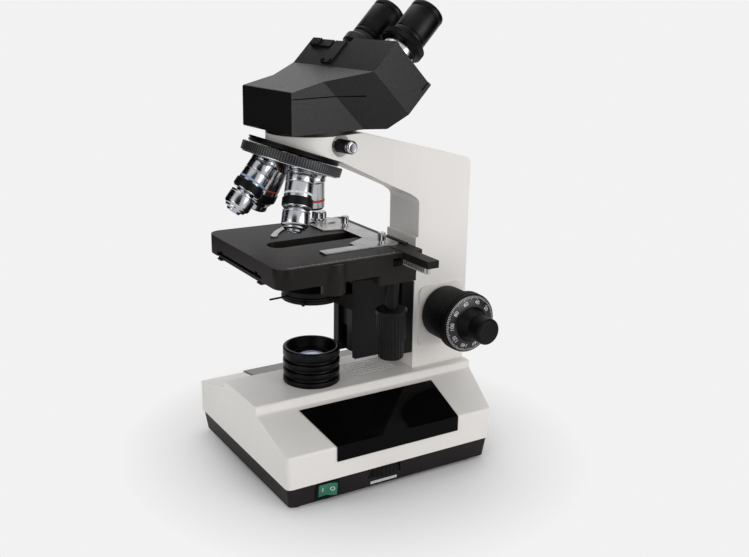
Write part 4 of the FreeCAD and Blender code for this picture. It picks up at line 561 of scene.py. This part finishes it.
def makeFocusKnobs(side, word):
    size, dial = focusSizes, dialSizes
    place = placeAlong((size["x"], 0, size["z"]), (0, side, 0), (-side, 0, 0))
    drumR, drumStart, drumEnd, boreR = size["drumR"], size["drumStart"], size["drumEnd"], size["boreR"]
    rimR, rimEnd, hubEnd = size["rimR"], size["rimEnd"], size["hubEnd"]
    fineR, fineEnd, spindleR = size["fineR"], size["fineEnd"], size["spindleR"]
    inR, outR, dialEnd = dial["inR"], dial["outR"], dial["end"]
    ribs = {"low": drumStart + 2.0, "high": rimEnd - 2.6, "depth": 0.45, "step": 6.0,
            "shape": straightRibs(size["ribs"])}
    outline = [(boreR, drumStart), (drumR - 1.2, drumStart), (drumR, drumStart + 1.4),
               (drumR, drumEnd - 1.6), (rimR - 0.4, drumEnd + 0.4), (rimR, drumEnd + 1.4),
               (rimR, rimEnd - 2.4), (rimR - 0.7, rimEnd - 2.2), (rimR - 0.7, rimEnd - 1.6),
               (rimR - 0.1, rimEnd - 1.2), (rimR - 0.3, rimEnd + 0.6), (outR + 0.1, rimEnd + 0.8),
               (outR + 0.1, rimEnd + 0.05), (inR - 0.1, rimEnd + 0.05), (inR - 0.1, dialEnd - 0.4),
               (inR - 0.9, dialEnd + 0.5), (fineR - 0.6, hubEnd - 0.6), (fineR - 1.2, hubEnd),
               (spindleR, hubEnd), (spindleR, drumStart + 12), (boreR, drumStart + 12), (boreR, drumStart)]
    drum = lathe("coarseKnob" + word, outline, place, moulded, "coarse drive", 0.3, 336,
                 ribs)
    ring = lathe("dial" + word, [(inR, rimEnd), (outR, rimEnd), (outR, rimEnd + dial["edge"]),
                                 (inR, dialEnd), (inR, rimEnd)],
                 place, dialMetal, "coarse drive", 0.15, 128)
    knob = lathe("fineKnob" + word, [(0, hubEnd + 0.3), (fineR - 0.9, hubEnd + 0.3), (fineR, hubEnd + 1.5),
                                     (fineR, fineEnd - 1.6), (fineR - 1.5, fineEnd), (fineR - 3.2, fineEnd),
                                     (fineR - 3.8, fineEnd - 0.25), (0, fineEnd - 0.4)],
                 place, moulded, "fine drive", 0.5, 96)

    # Ticks and numbers stand on the cone of the dial, square to its slope
    slope = math.atan2(dialEnd - rimEnd - dial["edge"], outR - inR)
    angles = np.arange(dial["ticks"]) * 2 * np.pi / dial["ticks"]
    halfTick = np.where(np.arange(dial["ticks"]) % 5 == 0, dial["tickHalf"][1], dial["tickHalf"][0])
    middle = outR - 0.25 - halfTick
    height = rimEnd + dial["edge"] + (outR - middle) * math.tan(slope)
    turned = np.array(place.to_3x3()).T
    out = np.stack([np.cos(angles), np.sin(angles), 0 * angles], 1)
    around = np.stack([-np.sin(angles), np.cos(angles), 0 * angles], 1)
    up = np.array([0, 0, 1.0])
    along = out * math.cos(slope) - up * math.sin(slope)
    normal = out * math.sin(slope) + up * math.cos(slope)
    spots = np.array(place.translation) + (out * middle[:, None] + up * height[:, None]) @ turned
    bars("dialTicks" + word, spots, (along * halfTick[:, None]) @ turned,
         around * dial["tickHalfWide"] @ turned, normal * 0.04 @ turned, whitePaint,
         "coarse drive")
    words = []
    for i in range(dial["labels"]):
        angle = 2 * math.pi * i / dial["labels"]
        toward = Vector((math.cos(angle), math.sin(angle), 0))
        spot = toward * (outR - dial["digitIn"])
        spot.z = rimEnd + dial["edge"] + dial["digitIn"] * math.tan(slope) + 0.03
        square = Vector((toward.x * math.sin(slope), toward.y * math.sin(slope), math.cos(slope)))
        upright = placeAlong(spot, square, (toward.y, -toward.x, 0))
        words.append((str(i * dial["labelStep"]), place @ upright))
    letters("dialNumbers" + word, words, dial["digit"], 0.06, whitePaint, "coarse drive")
    return drum, ring, knob


makeFocusKnobs(-1, "Near")
farKnobs = makeFocusKnobs(1, "Far")
for piece, name in zip(farKnobs, ("coarse_knobs", "dial_rings", "fine_knobs")):
    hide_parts(name)
print("stage: focus knobs made")

# Eyepieces, sleeves and dioptre ring, in the frame of the head, which is turned a little on its collar
headSizes = {"turn": 5.0, "corner": (19.0, 318.0), "block": 16.7, "guide": 3.6, "slide": {-1: 9.0, 1: 4.4},
             "half": 23.75, "offset": 24.2, "boreR": 11.65, "sleeveEnd": 13.4, "eyepieceR": 13.85,
             "eyeEnd": 53.1, "dioptreR": 17.8, "dioptre": (13.6, 21.6), "lensR": 9.4, "sleeveR": 13.45}
headTurn = Matrix.Rotation(math.radians(headSizes["turn"]), 4, "Z")
eyeOut = Vector((1, 0, 1)).normalized()
faceDown = Vector((1, 0, -1)).normalized()


# The middle of a sleeve's foot: out along the eyepieces from the block's corner, and down across its face
def eyePlace(side):
    size = headSizes
    point = Vector((size["corner"][0], side * size["half"], size["corner"][1]))
    point += eyeOut * (size["block"] + size["guide"] + size["slide"][side]) + faceDown * size["offset"]
    return headTurn @ placeAlong(point, eyeOut, (0, 1, 0))


farExtra = headSizes["slide"][-1] - headSizes["slide"][1]
r, tube, lensR = headSizes["eyepieceR"], headSizes["boreR"] - 0.05, headSizes["lensR"]
eyeSpans = {"near": (-1, headSizes["dioptre"][1] + 0.3, headSizes["eyeEnd"]),
            "far": (1, headSizes["sleeveEnd"] + 5.3 + farExtra, headSizes["eyeEnd"] + farExtra)}
for word, (side, start, end) in eyeSpans.items():
    outline = [(tube - 1.2, -2.0), (tube, -2.0), (tube, start), (r - 0.8, start), (r, start + 0.8),
               (r, start + 3.2), (r - 0.35, start + 3.5), (r - 0.35, start + 4.0), (r, start + 4.3),
               (r, end - 7.2), (r - 0.5, end - 6.8), (r - 0.5, end - 5.8), (r, end - 5.4), (r, end - 2.4),
               (r - 0.6, end - 1.0), (r - 2.2, end), (lensR + 0.6, end), (lensR, end - 1.0),
               (lensR, end - 6.0), (tube - 1.2, end - 8.0), (tube - 1.2, -2.0)]
    lathe("eyepiece" + word.title(), outline, eyePlace(side), turnedBlack, word + " eyepiece",
          0.4, 128, replaces=["eyepiece_" + word])
r, bore, (low, high) = headSizes["dioptreR"], 12.85, headSizes["dioptre"]
ribs = {"low": low + 1.6, "high": high - 1.6, "depth": 0.6, "step": 5.0, "shape": straightRibs(72)}
lathe("dioptreRing", [(bore, low), (r - 1.4, low), (r - 0.7, low + 0.9), (r - 0.7, low + 1.3),
                      (r, low + 1.5), (r, high - 1.5), (r - 0.7, high - 1.3), (r - 0.7, high - 0.9),
                      (r - 1.8, high), (bore, high), (bore, low)], eyePlace(-1), anodised, "dioptre",
      0.2, 288, ribs, replaces=["dioptre_ring"])
r = headSizes["sleeveR"]
lathe("sleeveBand", [(r - 0.25, 3.2), (r, 3.4), (r, 13.3), (r - 0.25, 13.35)], eyePlace(-1), turnedChrome,
      "near eye tube", 0.1)

# Painted shadow in the seam between the two halves of the head: a dark strip drawn along the near side and a
# little way up its flare
headSeamShadow = {"z": 299.6, "points": ((-39.4, -35.02), (-0.8, -34.6), (19.0, -45.1)), "halfWide": 0.36,
            "proud": 0.04}
seam = [headTurn @ Vector((x, y, headSeamShadow["z"])) for x, y in headSeamShadow["points"]]
runs = [last - first for first, last in zip(seam[:-1], seam[1:])]
middles = [first + run / 2 for first, run in zip(seam, runs)]
rises = [Vector((run.y, -run.x, 0)).normalized() * headSeamShadow["proud"] for run in runs]
bars("headSeamShadow", middles, [run / 2 for run in runs], (0, 0, headSeamShadow["halfWide"]), rises, darkPaint,
     "head")
print("stage: eyepieces made")

# Lamp house: three grooves round its lower half, a spigot below and a cone above the lens seat
lampSizes = {"r": 23.4, "deck": 65.8, "top": 95.3, "boreR": 15.5, "ledge": 2.0, "spigotR": 17.0,
             "low": 55.0, "groove": 2.0, "cone": 8.0, "seat": 14.5}
r, top, deck, low = lampSizes["r"], lampSizes["top"], lampSizes["deck"], lampSizes["low"]
boreR, narrowR = lampSizes["boreR"], lampSizes["boreR"] - lampSizes["ledge"]
valleyR = r - lampSizes["groove"]
spigotR, coneLow, seat = lampSizes["spigotR"], top - lampSizes["cone"], top - lampSizes["seat"]
step = (top - deck) / 8
outline = [(spigotR, low), (spigotR, deck), (r, deck)]
for i in (1, 3, 5):
    z = deck + step * i
    outline += [(r, z + 0.4), (valleyR, z + 1.4), (valleyR, z + step - 0.4), (r, z + step + 0.6)]
outline += [(r, top - 0.8), (r - 0.8, top), (r - 2.6, top), (boreR + 1.2, coneLow), (boreR, coneLow),
            (boreR, seat), (narrowR, seat), (narrowR, low), (spigotR, low)]
upright = placeAlong((0, 0, 0), (0, 0, 1), (1, 0, 0))
lathe("lampHouse", outline, upright, turnedBlack, "stand", 0.35, 144,
      replaces=["lamp_house"])

# Field lens: a flat back, a straight rim and a cap of a sphere, over a ground glass that spreads the light
fieldLens = {"r": 15.2, "low": 80.8, "rim": 2.8, "rise": 5.0, "steps": 16, "ground": (13.35, 79.4, 80.7)}
r, low, rise = fieldLens["r"], fieldLens["low"], fieldLens["rise"]
sphereR = (r ** 2 + rise ** 2) / (2 * rise)
capRadius = r * (1 - np.arange(fieldLens["steps"] + 1) / fieldLens["steps"])
capHeight = low + fieldLens["rim"] + rise - sphereR + np.sqrt(sphereR ** 2 - capRadius ** 2)
lathe("fieldLens", [(0, low), (r, low)] + list(zip(capRadius, capHeight)), upright, lensGlass, "stand",
      0.05, replaces=["field_lens"])
# Ground glass under the field lens, in the finish with the painted glow
r, low, high = fieldLens["ground"]
lathe("groundGlassDisc", [(0, low), (r, low), (r, high), (0, high)], upright, groundGlassPaintedGlow, "stand")

# Clamp screw of the head: bright stem, black grip and bright end
clampSizes = {"angle": -79.0, "tip": 23.6, "z": 263.2, "start": 8.9, "gripEnd": 21.3, "end": 25.3,
              "gripR": 5.2}
clampAngle = math.radians(clampSizes["angle"])
clampOut = Vector((math.cos(clampAngle), math.sin(clampAngle), 0))
place = placeAlong(clampOut * clampSizes["tip"] + Vector((0, 0, clampSizes["z"])), clampOut, (0, 0, 1))
r, start, gripEnd, end = (clampSizes[key] for key in ("gripR", "start", "gripEnd", "end"))
lathe("clampStem", [(0, 0), (1.6, 0), (2.2, 0.6), (2.2, 3.4), (3.2, 3.8), (3.2, start), (0, start)], place,
      turnedChrome, "head clamp", 0.15, 64, replaces=["head_clamp_screw"])
knurl = {"low": start + 1.0, "high": gripEnd - 0.8, "depth": 0.35, "step": 0.5,
         "shape": diamondKnurl(36, 1.6)}
lathe("clampGrip", [(0, start), (4.4, start), (r, start + 0.8), (r, gripEnd - 0.4), (4.9, gripEnd),
                    (0, gripEnd)],
      place, anodised, "head clamp", 0.2, 144, knurl)
lathe("clampEnd", [(0, gripEnd - 0.1), (4.9, gripEnd - 0.1), (5.1, gripEnd + 0.6), (5.1, end - 1.2),
                   (4.3, end - 0.3), (3.4, end), (3.1, end - 0.25), (0, end - 0.2)], place, turnedChrome,
      "head clamp", 0.25, 96)

# The near side of the pan leans outwards as it rises: the rocker's marks and the wheel's mark lie on it
panSide = {"low": 3.0, "high": 20.0, "lowY": -80.1, "highY": -82.5}
panLean = (panSide["highY"] - panSide["lowY"]) / (panSide["high"] - panSide["low"])
panOut = Vector((0, -1, panLean)).normalized()


def panY(z):
    return panSide["lowY"] + (z - panSide["low"]) * panLean


# The rocker's two flats: side, height at the left end and at the right end, and how far from the left end
# the mark lies
switchMarks = {"x": -30.5, "spot": 3.9, "size": 5.2, "half": 7.35,
               "flats": {"I": (-1, 0.1, -0.2, 3.45), "O": (1, -0.2, 2.6, 3.9)}}
rockerLow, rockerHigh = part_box("switch_rocker")
rockerZ = (rockerLow[2] + rockerHigh[2]) / 2 / mm
switchPlace = placeAlong((switchMarks["x"], panY(rockerZ), rockerZ), panOut, (1, 0, 0))
marks = []
for word, (side, first, last, along) in switchMarks["flats"].items():
    lean = math.atan2(last - first, switchMarks["half"])
    spot = Vector((side * switchMarks["spot"], 0,
                   first + along / switchMarks["half"] * (last - first) + 0.04))
    marks.append((word, switchPlace @ placeAlong(spot, (-math.sin(lean), 0, math.cos(lean)), (1, 0, 0))))
letters("switchMarks", marks, switchMarks["size"], 0.08, whitePaint, "power rocker")
wheelMark = {"middle": (20.55, 6.1), "half": (12.05, 1.2), "proud": 0.15}
(x, z), (halfX, halfZ) = wheelMark["middle"], wheelMark["half"]
bars("wheelMark", [(x, panY(z), z)], (halfX, 0, 0), (0, panLean * halfZ, halfZ),
     panOut * wheelMark["proud"], silverPaint, "stand")

# Scale along the near edge of the stage: fine ticks, longer ones each five and ten
scaleSizes = {"from": -52.0, "step": 1.0, "count": 91, "edge": -63.6, "top": 183.5,
              "lengths": (1.4, 2.2, 3.2)}
index = np.arange(scaleSizes["count"])
short, middle, tall = scaleSizes["lengths"]
length = np.where(index % 10 == 0, tall, np.where(index % 5 == 0, middle, short))
x = scaleSizes["from"] + scaleSizes["step"] * index
bars("stageScale", np.stack([x, scaleSizes["edge"] + length / 2, np.full(len(x), scaleSizes["top"])], 1),
     np.stack([0 * x, length / 2, 0 * x], 1), (0.1, 0, 0), (0, 0, 0.03), whitePaint, "stage table")
print("stage: scales and marks made")

# Studio, in metres: lamps as place, aim, size and power; cards as two corners on the floor
studio = {
    "background": "#F2F2F2", "floor": "#EFEFEF", "ambient": 0.55,
    "floorFade": (0.1, 0.2), "floorReach": 12.0,
    "lamps": {"keyLamp": ((0.72, -1.42, 0.5), (0.03, 0, 0.18), (0.9, 0.9), 8.5),
              "fillLamp": ((-1.4, -0.55, 0.6), (0, 0, 0.15), (0.8, 0.8), 4.0),
              "topLamp": ((0.3, 0.55, 1.6), (0, 0, 0.2), (1.1, 1.1), 6.3)},
    "cards": {"camera": ((-0.90, -0.55), (-0.28, -1.12)), "left": ((-0.76, 0.12), (-0.02, 0.78)),
              "right": ((0.62, -0.48), (0.80, 0.20))}, "cardHeight": 1.1,
}


# 1 for what the camera, a mirror or a lens sees, 0 for the light that falls on the object
def seenRays(tree):
    path = addNode(tree, "LightPath")
    seen = addNode(tree, "Math", {0: path.outputs["Is Camera Ray"], 1: path.outputs["Is Glossy Ray"]},
                   operation="ADD")
    return addNode(tree, "Math", {0: seen.outputs[0], 1: path.outputs["Is Transmission Ray"]},
                   operation="ADD", use_clamp=True).outputs[0]


def addStagePiece(name, points, material):
    mesh = bpy.data.meshes.new(name)
    mesh.from_pydata(points, [], [(0, 1, 2, 3)])
    mesh.materials.append(material)
    piece = bpy.data.objects.new(name, mesh)
    bpy.context.scene.collection.objects.link(piece)
    return piece


def makeWorld():
    world = bpy.data.worlds.new("softStudio")
    bpy.context.scene.world = world
    world.use_nodes = True
    tree = world.node_tree
    tree.nodes.clear()
    ambient = addNode(tree, "Background", {"Color": (1, 1, 1, 1), "Strength": studio["ambient"]})
    shown = addNode(tree, "Background", {"Color": linear(studio["background"]), "Strength": 1.0})
    mixed = addNode(tree, "MixShader", {0: seenRays(tree), 1: ambient.outputs[0], 2: shown.outputs[0]})
    addNode(tree, "OutputWorld", {"Surface": mixed.outputs[0]})


# Paper floor: it takes the object's shadow near the base and fades into the background around it
def makeFloor():
    material, tree = emptyMaterial("paperFloor")
    place = addNode(tree, "TexCoord").outputs["Object"]
    fromBase = addNode(tree, "VectorMath", {0: place, 1: (0.04, 0.0, 0.0)},
                       operation="DISTANCE").outputs["Value"]
    far = addNode(tree, "MapRange", {"Value": fromBase, "From Min": studio["floorFade"][0],
                                     "From Max": studio["floorFade"][1]}).outputs["Result"]
    share = addNode(tree, "Math", {0: far, 1: seenRays(tree)}, operation="MULTIPLY").outputs[0]
    near = addNode(tree, "BsdfDiffuse", {"Color": linear(studio["floor"])})
    away = addNode(tree, "Emission", {"Color": linear(studio["background"]), "Strength": 1.0})
    mixed = addNode(tree, "MixShader", {0: share, 1: near.outputs[0], 2: away.outputs[0]})
    addNode(tree, "OutputMaterial", {"Surface": mixed.outputs[0]})
    reach = studio["floorReach"]
    addStagePiece("floor", [(-reach, -reach, 0), (reach, -reach, 0), (reach, reach, 0), (-reach, reach, 0)],
                  material)


# Dark cards stand round the object as in a studio, so that chrome and lacquer have something dark to mirror
def makeCards():
    material, tree = emptyMaterial("blackCard")
    felt = addNode(tree, "BsdfDiffuse", {"Color": linear("#0A0A0A")})
    addNode(tree, "OutputMaterial", {"Surface": felt.outputs[0]})
    top = studio["cardHeight"]
    for name, ((x0, y0), (x1, y1)) in studio["cards"].items():
        card = addStagePiece(name + "Card", [(x0, y0, mm), (x1, y1, mm), (x1, y1, top), (x0, y0, top)],
                             material)
        card.visible_camera = card.visible_diffuse = card.visible_shadow = card.visible_transmission = False


def makeLamps():
    for name, (place, aim, size, power) in studio["lamps"].items():
        data = bpy.data.lights.new(name, "AREA")
        data.shape = "RECTANGLE"
        data.size, data.size_y = size
        data.energy = power
        lamp = bpy.data.objects.new(name, data)
        bpy.context.scene.collection.objects.link(lamp)
        lamp.location = place
        lamp.rotation_euler = (Vector(aim) - Vector(place)).to_track_quat("-Z", "Y").to_euler()


# The photograph's viewpoint, solved from the base, the lamp house and the head's collar
cameraView = {"lens": 46.17, "shift": (0.0754, -0.0215), "place": (-0.35023, -0.64816, 0.37668),
              "pitch": 16.01, "yaw": 28.81}


def makeCamera():
    data = bpy.data.cameras.new("camera")
    data.sensor_width = 36.0
    data.lens = cameraView["lens"]
    data.shift_x, data.shift_y = cameraView["shift"]
    data.clip_start, data.clip_end = 0.01, 50.0
    camera = bpy.data.objects.new("camera", data)
    bpy.context.scene.collection.objects.link(camera)
    camera.location = cameraView["place"]
    camera.rotation_euler = (math.radians(90 - cameraView["pitch"]), 0, math.radians(-cameraView["yaw"]))
    bpy.context.scene.camera = camera


makeWorld()
makeFloor()
makeCards()
makeLamps()
makeCamera()
bpy.context.scene.view_settings.view_transform = "Standard"
print("stage: studio made")
